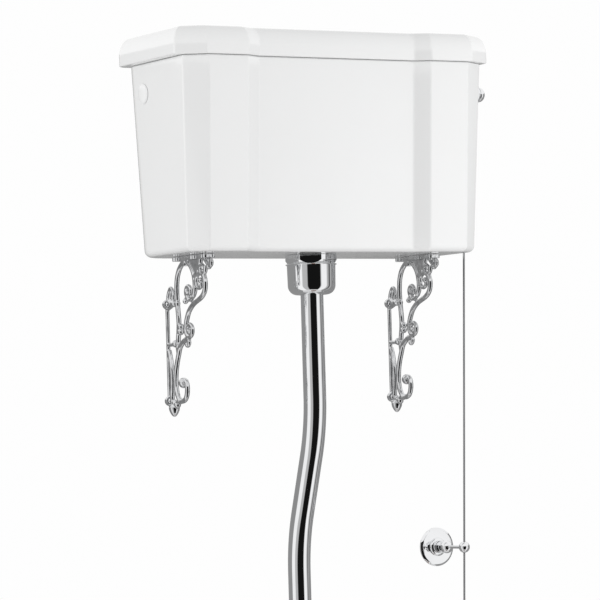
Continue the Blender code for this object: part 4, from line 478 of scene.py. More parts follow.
def eased(profile, edge):
    """A profile for turning whose corners are cut back by the edge; ends on the axis stay as they are."""
    points = [Vector(point) for point in profile]
    rounded = []
    for index, point in enumerate(points):
        if point.x == 0.0:
            rounded.append(tuple(point))
            continue
        back = points[index - 1] - point
        ahead = points[(index + 1) % len(points)] - point
        cut = min(edge, back.length * 0.45, ahead.length * 0.45)
        start = point + back.normalized() * cut
        end = point + ahead.normalized() * cut
        middle = (start + end + 2 * point) / 4
        rounded += [tuple(start), tuple(middle), tuple(end)]
    return rounded


# Helpers for solids

def link(data):
    shape = bpy.data.objects.new(data.name, data)
    bpy.context.scene.collection.objects.link(shape)
    return shape


def from_bmesh(mesh):
    data = bpy.data.meshes.new("shape")
    mesh.to_mesh(data)
    mesh.free()
    return link(data)


def modify(shape, kind, **settings):
    modifier = shape.modifiers.new(kind, kind)
    for name, value in settings.items():
        setattr(modifier, name, value)
    return shape


def evaluated_mesh(shape):
    bpy.context.view_layer.update()
    evaluated = shape.evaluated_get(bpy.context.evaluated_depsgraph_get())
    return bpy.data.meshes.new_from_object(evaluated)


def bake(shape):
    """Replaces an object's mesh by the mesh that its modifiers give."""
    mesh = evaluated_mesh(shape)
    shape.modifiers.clear()
    shape.data = mesh
    return shape


def combine(shape, *tools, operation="DIFFERENCE", solver="EXACT"):
    """Cuts the tools out of a shape, or joins them to it, or keeps what they share with it."""
    for tool in tools:
        bake(modify(shape, "BOOLEAN", operation=operation, solver=solver, object=tool))
        bpy.data.objects.remove(tool)
    return shape


def merge(shapes):
    """Gathers the meshes of several objects, which are used up, in one object."""
    mesh = bmesh.new()
    for shape in shapes:
        part = shape.data.copy()
        part.transform(shape.matrix_world)
        mesh.from_mesh(part)
        bpy.data.objects.remove(shape)
    return from_bmesh(mesh)


def loft(rings, closed=False):
    """A solid through rings of equally many points; closed joins the last ring to the first."""
    mesh = bmesh.new()
    levels = [[mesh.verts.new(point) for point in ring] for ring in rings]
    pairs = list(zip(levels, levels[1:]))
    if closed:
        pairs.append((levels[-1], levels[0]))
    else:
        mesh.faces.new(reversed(levels[0]))
        mesh.faces.new(levels[-1])
    for low, high in pairs:
        for index in range(len(low)):
            following = (index + 1) % len(low)
            mesh.faces.new((low[index], low[following], high[following], high[index]))
    bmesh.ops.recalc_face_normals(mesh, faces=mesh.faces)
    return from_bmesh(mesh)


def box(low, high):
    size = Vector(high) - Vector(low)
    place = Matrix.Translation(Vector(low) + size / 2)
    mesh = bmesh.new()
    bmesh.ops.create_cube(mesh, size=1.0, matrix=place @ Matrix.Diagonal((*size, 1)))
    return from_bmesh(mesh)


def aim(axis):
    """The turn that points what stands upright along the axis."""
    return Vector((0, 0, 1)).rotation_difference(Vector(axis)).to_matrix().to_4x4()


def cylinder(radius, start, end, steps=64):
    start = Vector(start)
    along = Vector(end) - start
    mesh = bmesh.new()
    bmesh.ops.create_cone(mesh, cap_ends=True, segments=steps, radius1=radius, radius2=radius,
                          depth=along.length, matrix=Matrix.Translation(start + along / 2) @ aim(along))
    return from_bmesh(mesh)


def ball(radius, centre, steps=32):
    mesh = bmesh.new()
    bmesh.ops.create_uvsphere(mesh, u_segments=steps, v_segments=steps // 2, radius=radius,
                              matrix=Matrix.Translation(centre))
    return from_bmesh(mesh)


def turned(profile, centre, axis=(0, 0, 1), hollow=False, steps=96, edge=0.0):
    """A solid of revolution; the (radius, height) profile runs down its outside, top to bottom."""
    mesh = bmesh.new()
    points = [mesh.verts.new((radius, 0, height))
              for radius, height in (eased(profile, edge) if edge else profile)]
    for upper, lower in zip(points, points[1:]):
        mesh.edges.new((upper, lower))
    if hollow:
        mesh.edges.new((points[-1], points[0]))
    shape = bake(modify(from_bmesh(mesh), "SCREW", steps=steps, render_steps=steps,
                        use_merge_vertices=True, merge_threshold=0.00001))
    shape.data.transform(Matrix.Translation(centre) @ aim(axis))
    return shape


def washer(outer, inner, thickness, edge, centre, axis=(0, 0, 1), steps=96):
    """A round ring with eased edges about its own middle."""
    half = thickness / 2
    profile = [(outer, half), (outer, -half), (inner, -half), (inner, half)]
    return turned(profile, centre, axis, True, steps, edge)


def rod(points, radii, rounding=6, capped=True):
    """A round bar along the points, with a radius at each of them."""
    curve = bpy.data.curves.new("rod", "CURVE")
    curve.dimensions = "3D"
    curve.bevel_depth = 1.0
    curve.bevel_resolution = rounding
    curve.use_fill_caps = capped
    spline = curve.splines.new("POLY")
    spline.points.add(len(points) - 1)
    for place, point, radius in zip(spline.points, points, radii):
        place.co = (*point, 1)
        place.radius = radius
    shape = link(curve)
    mesh = bmesh.new()
    mesh.from_mesh(evaluated_mesh(shape))
    bmesh.ops.remove_doubles(mesh, verts=mesh.verts, dist=0.00001)
    bmesh.ops.recalc_face_normals(mesh, faces=mesh.faces)
    bpy.data.objects.remove(shape)
    return from_bmesh(mesh)


def rounded_plate(outline, thickness, edge):
    """A flat plate in the XY plane with eased edges, its thickness centred on Z = 0."""
    half = thickness / 2
    levels = ((-half, edge), (-half + edge * 0.3, edge * 0.3), (-half + edge, 0.0),
              (half - edge, 0.0), (half - edge * 0.3, edge * 0.3), (half, edge))
    return loft([ring_at(offset_outline(outline, inset), level) for level, inset in levels])


# Materials

def connect(node, **inputs):
    """Sets a node's inputs: another node's output is linked, anything else is the input's value."""
    for name, value in inputs.items():
        socket = node.inputs[name.replace("_", " ")]
        if isinstance(value, bpy.types.NodeSocket):
            node.id_data.links.new(value, socket)
        else:
            socket.default_value = value
    return node


def add_node(tree, kind, **inputs):
    return connect(tree.nodes.new("ShaderNode" + kind), **inputs)


def add_ramp(tree, share, stops):
    """A colour ramp through (position, colour) stops."""
    ramp = add_node(tree, "ValToRGB", Fac=share)
    elements = ramp.color_ramp.elements
    while len(elements) < len(stops):
        elements.new(0.5)
    for element, (position, colour) in zip(elements, stops):
        element.position = position
        element.color = (*colour, 1)
    return ramp.outputs["Color"]


def add_material(name):
    material = bpy.data.materials.new(name)
    material.use_nodes = True
    return material, material.node_tree


def surface(name, pale, dark, patch, rough, bump, stretch=(1, 1, 1), **sockets):
    """A Principled material whose colour, roughness and relief vary over the object.

    patch is the colour noise's scale, rough is (low, high, scale) and bump is (depth, scale, strength).
    """
    material, tree = add_material(name)
    mapping = add_node(tree, "Mapping", Scale=stretch,
                       Vector=add_node(tree, "TexCoord").outputs["Object"])

    def noise(scale, detail):
        return add_node(tree, "TexNoise", Scale=scale, Detail=detail,
                        Vector=mapping.outputs["Vector"]).outputs["Fac"]

    colour = add_ramp(tree, noise(patch, 3.0), ((0.3, dark), (0.7, pale)))
    low, high, scale = rough
    reach = add_node(tree, "MapRange", Value=noise(scale, 4.0), From_Min=0.3, From_Max=0.7,
                     To_Min=low, To_Max=high)
    depth, scale, strength = bump
    relief = add_node(tree, "Bump", Strength=strength, Distance=depth, Height=noise(scale, 2.0))
    connect(tree.nodes["Principled BSDF"], Base_Color=colour, Roughness=reach.outputs["Result"],
            Normal=relief.outputs["Normal"], **sockets)
    return material


def cool(grey):
    return grey, grey + 0.005, grey + 0.015


GLAZE = ((0.835, 0.838, 0.838), (0.820, 0.823, 0.823))
FINISHES = {
    "ceramic": surface("glazed_ceramic", *GLAZE, 5.0, (0.10, 0.16, 20.0), (0.0008, 14.0, 0.08),
                       Coat_Weight=0.6, Coat_Roughness=0.03),
    "chrome": surface("polished_chrome", cool(0.87), cool(0.83), 30.0,
                      (0.015, 0.05, 60.0), (0.0003, 60.0, 0.03), Metallic=1.0),
    "cast_chrome": surface("polished_cast_chrome", cool(0.80), cool(0.50), 120.0,
                           (0.03, 0.10, 120.0), (0.0006, 110.0, 0.10), Metallic=1.0),
    "dark_chrome": surface("drawn_chrome", cool(0.56), cool(0.50), 40.0,
                           (0.08, 0.16, 80.0), (0.0002, 120.0, 0.05), (1.0, 1.0, 0.1), Metallic=1.0),
    "brass": surface("plain_brass", (0.78, 0.60, 0.30), (0.60, 0.43, 0.18), 40.0,
                     (0.22, 0.38, 80.0), (0.0003, 200.0, 0.2), Metallic=1.0),
    "plastic": surface("moulded_plastic", (0.84, 0.84, 0.83), (0.80, 0.80, 0.79), 30.0,
                       (0.30, 0.42, 90.0), (0.0002, 300.0, 0.2)),
    "glazed_plastic": surface("glossy_plastic", *GLAZE, 30.0, (0.14, 0.20, 60.0), (0.0002, 90.0, 0.06)),
    "rubber": surface("black_rubber", (0.045, 0.045, 0.045), (0.03, 0.03, 0.03), 60.0,
                      (0.6, 0.8, 90.0), (0.0003, 400.0, 0.4)),
    "white_rubber": surface("pale_rubber", (0.78, 0.78, 0.76), (0.70, 0.70, 0.67), 60.0,
                            (0.5, 0.65, 90.0), (0.0003, 400.0, 0.3)),
    "wood": surface("stained_wood", (0.250, 0.085, 0.036), (0.085, 0.022, 0.009), 46.0,
                    (0.20, 0.40, 70.0), (0.0004, 120.0, 0.22), (1.0, 0.07, 1.0),
                    Coat_Weight=0.5, Coat_Roughness=0.08),
}


def show(shape, node, make, finish="chrome", body="toilet", sharp=30):
    """Names a finished piece after its CAD node, puts it in the frame and lets it stand for the node."""
    shape.name = shape.data.name = node + "_" + make
    shape.data.transform(Matrix.Translation(PLACE))
    shape.data.materials.clear()
    shape.data.materials.append(FINISHES[finish])
    shape.data.shade_smooth()
    shape.data.set_sharp_from_angle(angle=math.radians(sharp))
    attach(shape, body)
    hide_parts(node)


def add_screw(name, place, axis, head, shank, turn):
    """A slotted screw with a domed head; head and shank are (radius, length) and place is its seat."""
    radius, height = head
    profile = dome(radius, 0.0, height, 10) + [(shank[0], 0.0), (shank[0], -shank[1]), (0.0, -shank[1])]
    screw = turned(profile, (0, 0, 0), steps=40)
    slot = box((-2 * radius, -SLOT_HALF_WIDTH_SHARE * radius, SLOT_FLOOR_SHARE * height),
               (2 * radius, SLOT_HALF_WIDTH_SHARE * radius, 2 * height))
    slot.data.transform(Matrix.Rotation(turn, 4, "Z"))
    combine(screw, slot)
    screw.data.transform(Matrix.Translation(place) @ aim(axis))
    show(screw, name, "slotted")


# Cistern

def tank_half_width(height):
    return TANK_HALF_WIDTH - SIDE_TAPER * (1 - height / TANK_HEIGHT)


def cistern_outline(half_width, side_depth, wing_half_width, front, rear_radius, inset):
    """Straight sides, canted front corners and wings either side of the recessed panel."""
    corners = mirrored_corners((
        (half_width, 0.0), (half_width, side_depth), (wing_half_width, front),
        (PANEL_HALF_WIDTH + PANEL_STEP_WIDTH, front), (PANEL_HALF_WIDTH, front - PANEL_RECESS)))
    radii = mirrored((rear_radius, CANT_RADIUS, CANT_RADIUS, STEP_RADIUS, STEP_RADIUS))
    return rounded_outline(corners, radii, TANK_CORNER_STEPS, inset)


def tank_ring(height, inset=0.0):
    below = 1 - height / TANK_HEIGHT
    outline = cistern_outline(
        tank_half_width(height), TANK_SIDE_DEPTH - FRONT_TAPER * below, WING_HALF_WIDTH - WING_TAPER * below,
        TANK_DEPTH - FRONT_TAPER * below,
        TANK_REAR_RADIUS + (TANK_REAR_RADIUS_BELOW - TANK_REAR_RADIUS) * below, inset)
    return ring_at(outline, CISTERN_LEVEL + height)


def add_tank():
    """One shell: the underside, up the outside, over the rim and down the inside to the floor."""
    rim = quarter(TANK_RIM_RADIUS, 4)
    rings = [tank_ring(up, across) for across, up in quarter(TANK_BOTTOM_RADIUS, 10)]
    rings += [tank_ring(TANK_HEIGHT * share) for share in (0.25, 0.5, 0.75)]
    rings += [tank_ring(TANK_HEIGHT - up, across) for across, up in reversed(rim)]
    rings += [tank_ring(TANK_HEIGHT - up, TANK_WALL - across) for across, up in rim]
    rings += [tank_ring(TANK_FLOOR + up, TANK_WALL + across)
              for across, up in reversed(quarter(TANK_INNER_RADIUS, 8))]
    inlet = CISTERN_LEVEL + INLET_HEIGHT
    tank = loft(rings)
    near = tank_half_width(0.0) - TANK_WALL - TANK_INNER_RADIUS
    far = TANK_HALF_WIDTH + OVERRUN
    back = -TANK_WALL - OVERRUN
    holes = [
        (TAIL_RADIUS + THREAD_CLEARANCE, below_outlet(OVERRUN), below_outlet(-TANK_FLOOR - OVERRUN)),
        (BUSH_THREAD_RADIUS + THREAD_CLEARANCE, spindle_centre(near), spindle_centre(far)),
        (SIDE_CAP_STEM_RADIUS + THREAD_CLEARANCE, (-near, -SIDE_CAP_DEPTH, spindle_centre(0).z),
         (-far, -SIDE_CAP_DEPTH, spindle_centre(0).z)),
        (INLET_TAIL_RADIUS + TOUCH, (-INLET_OFFSET, OVERRUN, inlet), (-INLET_OFFSET, back, inlet))]
    for side, word in SIDES:
        across, level = side * SCREW_SPREAD, CISTERN_LEVEL + SCREW_HEIGHT
        holes.append((SCREW_RADIUS + THREAD_CLEARANCE, (across, OVERRUN, level), (across, back, level)))
        add_screw("cistern_screw_" + word, (across, -TANK_WALL - TOUCH, level), OUTWARDS, SCREW_HEAD,
                  (SCREW_RADIUS, TANK_WALL), 0.6 * side)
    combine(tank, *(cylinder(*hole) for hole in holes))
    show(tank, "cistern_tank", "glazed", "ceramic", sharp=38)


def lid_ring(height, inset=0.0):
    outline = cistern_outline(
        TANK_HALF_WIDTH + LID_SIDE_OVERHANG, TANK_SIDE_DEPTH, WING_HALF_WIDTH + LID_WING_OVERHANG,
        TANK_DEPTH + LID_FRONT_OVERHANG, LID_REAR_RADIUS, inset)
    return ring_at(outline, LID_LEVEL + height)


def add_lid():
    """The lip that hangs inside the tank, the side, its round top edge and the slightly higher crown."""
    outer = TANK_WALL + LID_LIP_CLEARANCE
    inner = outer + LID_LIP_WALL
    lip = ((LID_HEIGHT - LID_TOP_THICKNESS, inner), (-LID_LIP_DROP, inner), (-LID_LIP_DROP, outer),
           (0.0, outer))
    rings = [ring_at(tank_ring(TANK_HEIGHT, inset), LID_LEVEL + height) for height, inset in lip]
    rings += [lid_ring(up, across) for across, up in quarter(LID_EDGE, 4)]
    side = LID_HEIGHT - LID_CROWN - LID_ROUND_UP
    rings += [lid_ring(side + LID_ROUND_UP * sine, LID_ROUND_ACROSS * (1 - cosine))
              for sine, cosine in sweep(QUARTER, 18)]
    rings += [lid_ring(LID_HEIGHT - LID_CROWN * share * share, LID_ROUND_ACROSS * (2 - share))
              for share in (0.75, 0.5, 0.25, 0.0)]
    show(loft(rings), "cistern_lid", "glazed", "ceramic", "lid", sharp=38)


def add_side_cap():
    """The moulded blanking cap: a shallow dome over a thin flange, square to the leaning wall."""
    lean = math.atan(SIDE_TAPER / TANK_HEIGHT)
    outward = Vector((-math.cos(lean), 0, -math.sin(lean)))
    seat = Vector((-tank_half_width(SPINDLE_HEIGHT), -SIDE_CAP_DEPTH, CISTERN_LEVEL + SPINDLE_HEIGHT))
    foot = -TANK_WALL - SIDE_CAP_STEM_PROJECTION
    profile = dome(SIDE_CAP_CROWN_RADIUS, SIDE_CAP_FLANGE, SIDE_CAP_CROWN, 12)
    profile += [(SIDE_CAP_RADIUS - TOUCH, SIDE_CAP_FLANGE), (SIDE_CAP_RADIUS, SIDE_CAP_FLANGE - TOUCH),
                (SIDE_CAP_RADIUS, 0.0), (SIDE_CAP_STEM_RADIUS, 0.0), (SIDE_CAP_STEM_RADIUS, foot),
                (0.0, foot)]
    show(turned(profile, seat + outward * TOUCH, outward), "side_hole_cap", "moulded", "glazed_plastic")


def add_float():
    """The float ball with the seam where its two halves meet."""
    drop = Vector((math.cos(FLOAT_DROP_ANGLE), 0, -math.sin(FLOAT_DROP_ANGLE)))
    hinge = Vector((-INLET_OFFSET, -FLOAT_PIN_DEPTH, CISTERN_LEVEL + INLET_HEIGHT))
    profile = []
    for step, (sine, cosine) in enumerate(sweep(math.pi, 40)):
        radius = FLOAT_RADIUS if step == 20 else FLOAT_RADIUS * FLOAT_SEAM_SHARE
        profile.append((radius * sine, radius * cosine))
    show(turned(profile, hinge + drop * FLOAT_REACH, drop), "float_ball", "seamed", "plastic", "float", 60)


# Cup nut and flush pipe

def below_outlet(drop):
    return Vector((0, -OUTLET_DEPTH, CISTERN_LEVEL - drop))


def add_cup_nut():
    """A chamfered hexagon over a thin rim and a round-bottomed cup."""
    centre = below_outlet(TOUCH)
    foot = centre - Vector((0, 0, NUT_HEX_HEIGHT))
    past = Vector((0, 0, OVERRUN))
    bore = PIPE_RADIUS + 2 * TOUCH
    hexagon = cylinder(NUT_ACROSS_FLATS / math.sqrt(3), centre, foot, 6)
    hexagon.data.transform(Matrix.Translation(centre) @ Matrix.Rotation(NUT_TURN, 4, "Z")
                           @ Matrix.Translation(-centre))
    envelope = [(0.0, OVERRUN), (NUT_CORNER_RADIUS, OVERRUN), (NUT_CORNER_RADIUS, -NUT_CHAMFER_TOP),
                (NUT_CHAMFER_RADIUS, -NUT_HEX_HEIGHT), (NUT_CHAMFER_RADIUS, -NUT_HEX_HEIGHT - OVERRUN),
                (0.0, -NUT_HEX_HEIGHT - OVERRUN)]
    combine(hexagon, turned(envelope, centre, steps=120), operation="INTERSECT")
    combine(hexagon, cylinder(bore, centre + past, foot - past))
    rim = -NUT_HEX_HEIGHT - NUT_RIM_HEIGHT
    cup = [(bore, -NUT_HEX_HEIGHT), (NUT_CORNER_RADIUS - 2 * TOUCH, -NUT_HEX_HEIGHT),
           (NUT_CORNER_RADIUS, -NUT_HEX_HEIGHT - 2 * TOUCH), (NUT_CORNER_RADIUS, rim + 2 * TOUCH),
           (NUT_CORNER_RADIUS - 2 * TOUCH, rim), (NUT_CUP_RADIUS, rim - TOUCH)]
    cup += [(NUT_CUP_RADIUS_BELOW - up, across - NUT_HEIGHT) for across, up in quarter(NUT_CUP_ROUND, 12)]
    cup.append((bore, -NUT_HEIGHT))
    show(merge([hexagon, turned(cup, centre, hollow=True, steps=120)]), "cup_nut", "turned", sharp=20)


def bend(start, first, last):
    """Points of an arc in the pipe's upright plane; the angles are the pipe's lean from straight down."""
    radius = PIPE_BEND_RADIUS if last > first else -PIPE_BEND_RADIUS
    return [start + Vector((0, radius * (math.cos(first) - cosine), -radius * (sine - math.sin(first))))
            for sine, cosine in sweep(last, 24, first)]


def upper_pipe_route():
    first = bend(below_outlet(PIPE_BEND_DROP), 0.0, PIPE_BEND_ANGLE)
    run = PIPE_SET_BACK * (1 - PIPE_BEND_SHARE) / math.sin(PIPE_BEND_ANGLE)
    lean = Vector((0, math.sin(PIPE_BEND_ANGLE), -math.cos(PIPE_BEND_ANGLE)))
    second = bend(first[-1] + lean * run, PIPE_BEND_ANGLE, 0.0)
    end = Vector((0, -PIPE_WALL_DEPTH, PIPE_JOINT_LEVEL + RUNNING))
    return [below_outlet(PIPE_TOP_DROP)] + first + second + [end]


def lower_pipe_route():
    elbow = [Vector((0, -PIPE_WALL_DEPTH - up, FLUSH_INLET_LEVEL + across))
             for across, up in quarter(PIPE_ELBOW_RADIUS, 24)]
    return ([Vector((0, -PIPE_WALL_DEPTH, PIPE_JOINT_LEVEL - RUNNING))] + elbow
            + [Vector((0, -PAN_REAR - CONE_PLUG_LENGTH / 2, FLUSH_INLET_LEVEL))])


def add_pipe(node, route):
    pipe = rod(route, [PIPE_RADIUS] * len(route), 22, capped=False)
    bake(modify(pipe, "SOLIDIFY", thickness=PIPE_WALL, offset=-1, use_rim=True))
    show(pipe, node, "polished", sharp=38)


def add_pipe_fittings():
    """The coupling's two collars on a sleeve, the wall clip and the rubber cone into the pan."""
    half = COUPLING_LENGTH / 2
    wide = COUPLING_RADIUS
    neck = wide - (wide - PIPE_RADIUS) / 3
    collar = half * COUPLING_COLLAR_SHARE
    bore = PIPE_RADIUS + TOUCH
    sleeve = [(neck, half), (wide, half - 2 * TOUCH), (wide, half - collar), (neck, half - collar),
              (neck, collar - half), (wide, collar - half), (wide, 2 * TOUCH - half), (neck, -half),
              (bore, -half), (bore, half)]
    show(turned(sleeve, (0, -PIPE_WALL_DEPTH, PIPE_JOINT_LEVEL), hollow=True, edge=FINE_EDGE),
         "pipe_coupling", "turned")
    plate = [(0.0, CLIP_BASE_HEIGHT), (CLIP_STEM_RADIUS * 1.8, CLIP_BASE_HEIGHT)]
    plate += scaled(((0.8, 0.85), (1.0, 0.4)), CLIP_BASE_RADIUS, CLIP_BASE_HEIGHT)
    plate += [(CLIP_BASE_RADIUS, TOUCH), (0.0, TOUCH)]
    clip = [washer(bore + CLIP_WALL, bore, CLIP_HEIGHT, CLIP_EDGE, (0, -PIPE_WALL_DEPTH, CLIP_LEVEL)),
            turned(plate, (0, 0, CLIP_LEVEL), OUTWARDS),
            cylinder(CLIP_STEM_RADIUS, (0, -CLIP_BASE_HEIGHT / 2, CLIP_LEVEL),
                     (0, -PIPE_WALL_DEPTH + bore + CLIP_WALL / 2, CLIP_LEVEL))]
    show(merge(clip), "pipe_clip", "turned")
    plug = FLUSH_INLET_RADIUS - TOUCH
    cone = [(bore + TOUCH, CONE_FLANGE_LENGTH), (bore + CONE_WALL, CONE_FLANGE_LENGTH * 0.55),
            (CONE_FLANGE_RADIUS, CONE_FLANGE_EDGE), (CONE_FLANGE_RADIUS, TOUCH), (plug, TOUCH),
            (plug, -CONE_PLUG_LENGTH), (bore, -CONE_PLUG_LENGTH), (bore, CONE_FLANGE_LENGTH)]
    show(turned(cone, (0, -PAN_REAR, FLUSH_INLET_LEVEL), REARWARDS, hollow=True, edge=FINE_EDGE),
         "flush_cone", "moulded", "white_rubber", sharp=50)


# Lever, pull rod and guide

def bush_seat():
    return tank_half_width(SPINDLE_HEIGHT + BUSH_FLANGE_RADIUS) + TOUCH


def crank_inner_face():
    return bush_seat() + BUSH_FLANGE_HEIGHT + RUNNING


def rod_offset():
    return crank_inner_face() + CRANK_THICKNESS + RUNNING + EYE_THICKNESS / 2


def spindle_centre(across):
    return Vector((across, -SPINDLE_DEPTH, CISTERN_LEVEL + SPINDLE_HEIGHT))


def crank_pin():
    """The middle of the rod's eye on the crank's pin, at rest."""
    raised = Vector((0, math.cos(LEVER_REST_ANGLE), math.sin(LEVER_REST_ANGLE)))
    return spindle_centre(rod_offset()) + raised * CRANK_LENGTH


def guide_eye_centre():
    return Vector((rod_offset(), -GUIDE_EYE_DEPTH, CISTERN_LEVEL - GUIDE_DROP))


def rod_direction():
    return (guide_eye_centre() - crank_pin()).normalized()


def handle_top():
    pin = crank_pin()
    return pin + rod_direction() * (pin.z - HANDLE_LEVEL) / -rod_direction().z


def crank_outline():
    """The hub's and the boss's circles joined by their outer tangents, the boss along +X."""
    lean = math.asin((CRANK_HUB_RADIUS - CRANK_BOSS_RADIUS) / CRANK_LENGTH)
    outline = []
    for centre, radius, first, last in ((0.0, CRANK_HUB_RADIUS, QUARTER - lean, 3 * QUARTER + lean),
                                        (CRANK_LENGTH, CRANK_BOSS_RADIUS, lean - QUARTER, QUARTER - lean)):
        outline += [Vector((centre + radius * cosine, radius * sine))
                    for sine, cosine in sweep(last, 32, first)]
    return outline


def add_lever():
    """The bush in the tank's side, the crank with its pin and the dome cap on the spindle's end."""
    bore = SPINDLE_RADIUS + RUNNING
    bush = [(BUSH_FLANGE_RADIUS, BUSH_FLANGE_HEIGHT), (BUSH_FLANGE_RADIUS, 0.0), (BUSH_THREAD_RADIUS, 0.0),
            (BUSH_THREAD_RADIUS, -BUSH_LENGTH), (bore, -BUSH_LENGTH), (bore, BUSH_FLANGE_HEIGHT)]
    show(turned(bush, spindle_centre(bush_seat()), RIGHTWARDS, hollow=True, edge=PLAIN_EDGE),
         "spindle_bush", "turned")
    crank = rounded_plate(crank_outline(), CRANK_THICKNESS, FINE_EDGE)
    upright = Matrix(((0, 0, 1, 0), (1, 0, 0, 0), (0, 1, 0, 0), (0, 0, 0, 1)))
    middle = spindle_centre(crank_inner_face() + CRANK_THICKNESS / 2)
    crank.data.transform(Matrix.Translation(middle) @ Matrix.Rotation(LEVER_REST_ANGLE, 4, "X") @ upright)
    face = crank_inner_face() + CRANK_THICKNESS
    combine(crank, cylinder(SPINDLE_RADIUS + TOUCH, spindle_centre(crank_inner_face() - OVERRUN),
                            spindle_centre(face + OVERRUN)))
    reach = EYE_THICKNESS + 2 * RUNNING
    top = reach + CRANK_PIN_HEAD_HEIGHT
    pin = [(0.0, top), (CRANK_PIN_HEAD_RADIUS * 0.8, top),
           (CRANK_PIN_HEAD_RADIUS, reach + CRANK_PIN_HEAD_HEIGHT * 0.7), (CRANK_PIN_HEAD_RADIUS, reach),
           (CRANK_PIN_RADIUS, reach), (CRANK_PIN_RADIUS, -CRANK_THICKNESS / 2), (0.0, -CRANK_THICKNESS / 2)]
    seat = Vector((face, crank_pin().y, crank_pin().z))
    show(merge([crank, turned(pin, seat, RIGHTWARDS)]), "outer_crank", "polished", body="lever")
    cap = dome(DOME_RADIUS, DOME_RIM, DOME_HEIGHT, 16)
    cap += [(DOME_RADIUS, TOUCH), (DOME_RADIUS - TOUCH, 0.0), (0.0, 0.0)]
    show(turned(cap, spindle_centre(face + TOUCH), RIGHTWARDS), "crank_dome_cap", "polished",
         body="lever", sharp=60)


def add_pull():
    """The eye on the crank's pin, the rod, and the turned handle under its ferrule."""
    pin, down, top = crank_pin(), rod_direction(), handle_top()
    length = EYE_SOCKET_LENGTH - EYE_RADIUS * 0.9
    socket = [(0.0, length)] + scaled(((1.3, 1.0), (1.0, 0.6)), EYE_SOCKET_RADIUS, length)
    socket += [(EYE_SOCKET_RADIUS, 2 * TOUCH), (EYE_SOCKET_RADIUS * 0.85, 0.0), (0.0, 0.0)]
    eye = [washer(EYE_RADIUS, CRANK_PIN_RADIUS + EYE_PLAY, EYE_THICKNESS, FINE_EDGE, pin, RIGHTWARDS),
           turned(socket, pin + down * EYE_SOCKET_LENGTH, -down)]
    show(merge(eye), "rod_eye", "turned", body="pull")
    start = pin + down * (EYE_SOCKET_LENGTH + TOUCH)
    length = (top - down * TOUCH - start).length
    bar = [(0.0, length), (ROD_RADIUS, length), (ROD_RADIUS, 0.0), (0.0, 0.0)]
    show(turned(bar, start, down, steps=32, edge=TOUCH), "pull_rod", "drawn", "dark_chrome", "pull", 38)
    ferrule = scaled(FERRULE_SHARES, FERRULE_RADIUS, -FERRULE_LENGTH)
    ferrule += [(FERRULE_RADIUS, TOUCH - FERRULE_LENGTH), (FERRULE_RADIUS - TOUCH, -FERRULE_LENGTH),
                (0.0, -FERRULE_LENGTH)]
    show(turned(ferrule, top, -down), "handle_ferrule", "turned", body="pull")
    handle = [(0.0, 0.0), (HANDLE_RADIUS * 0.36, 0.0), (HANDLE_RADIUS * 0.40, -TOUCH)]
    for step in range(1, 45):
        share = step / 45
        swell = 0.38 + 0.62 * math.sin(math.pi * (0.12 + 0.76 * share ** 1.25)) ** 1.4
        handle.append((HANDLE_RADIUS * min(swell, 1.0), -HANDLE_LENGTH * share))
    handle += scaled(((0.40, 0.99), (0.30, 1.0), (0.0, 1.0)), HANDLE_RADIUS, -HANDLE_LENGTH)
    show(turned(handle, top + down * (FERRULE_LENGTH + TOUCH), -down), "pull_handle", "glazed", "ceramic",
         "pull", 38)


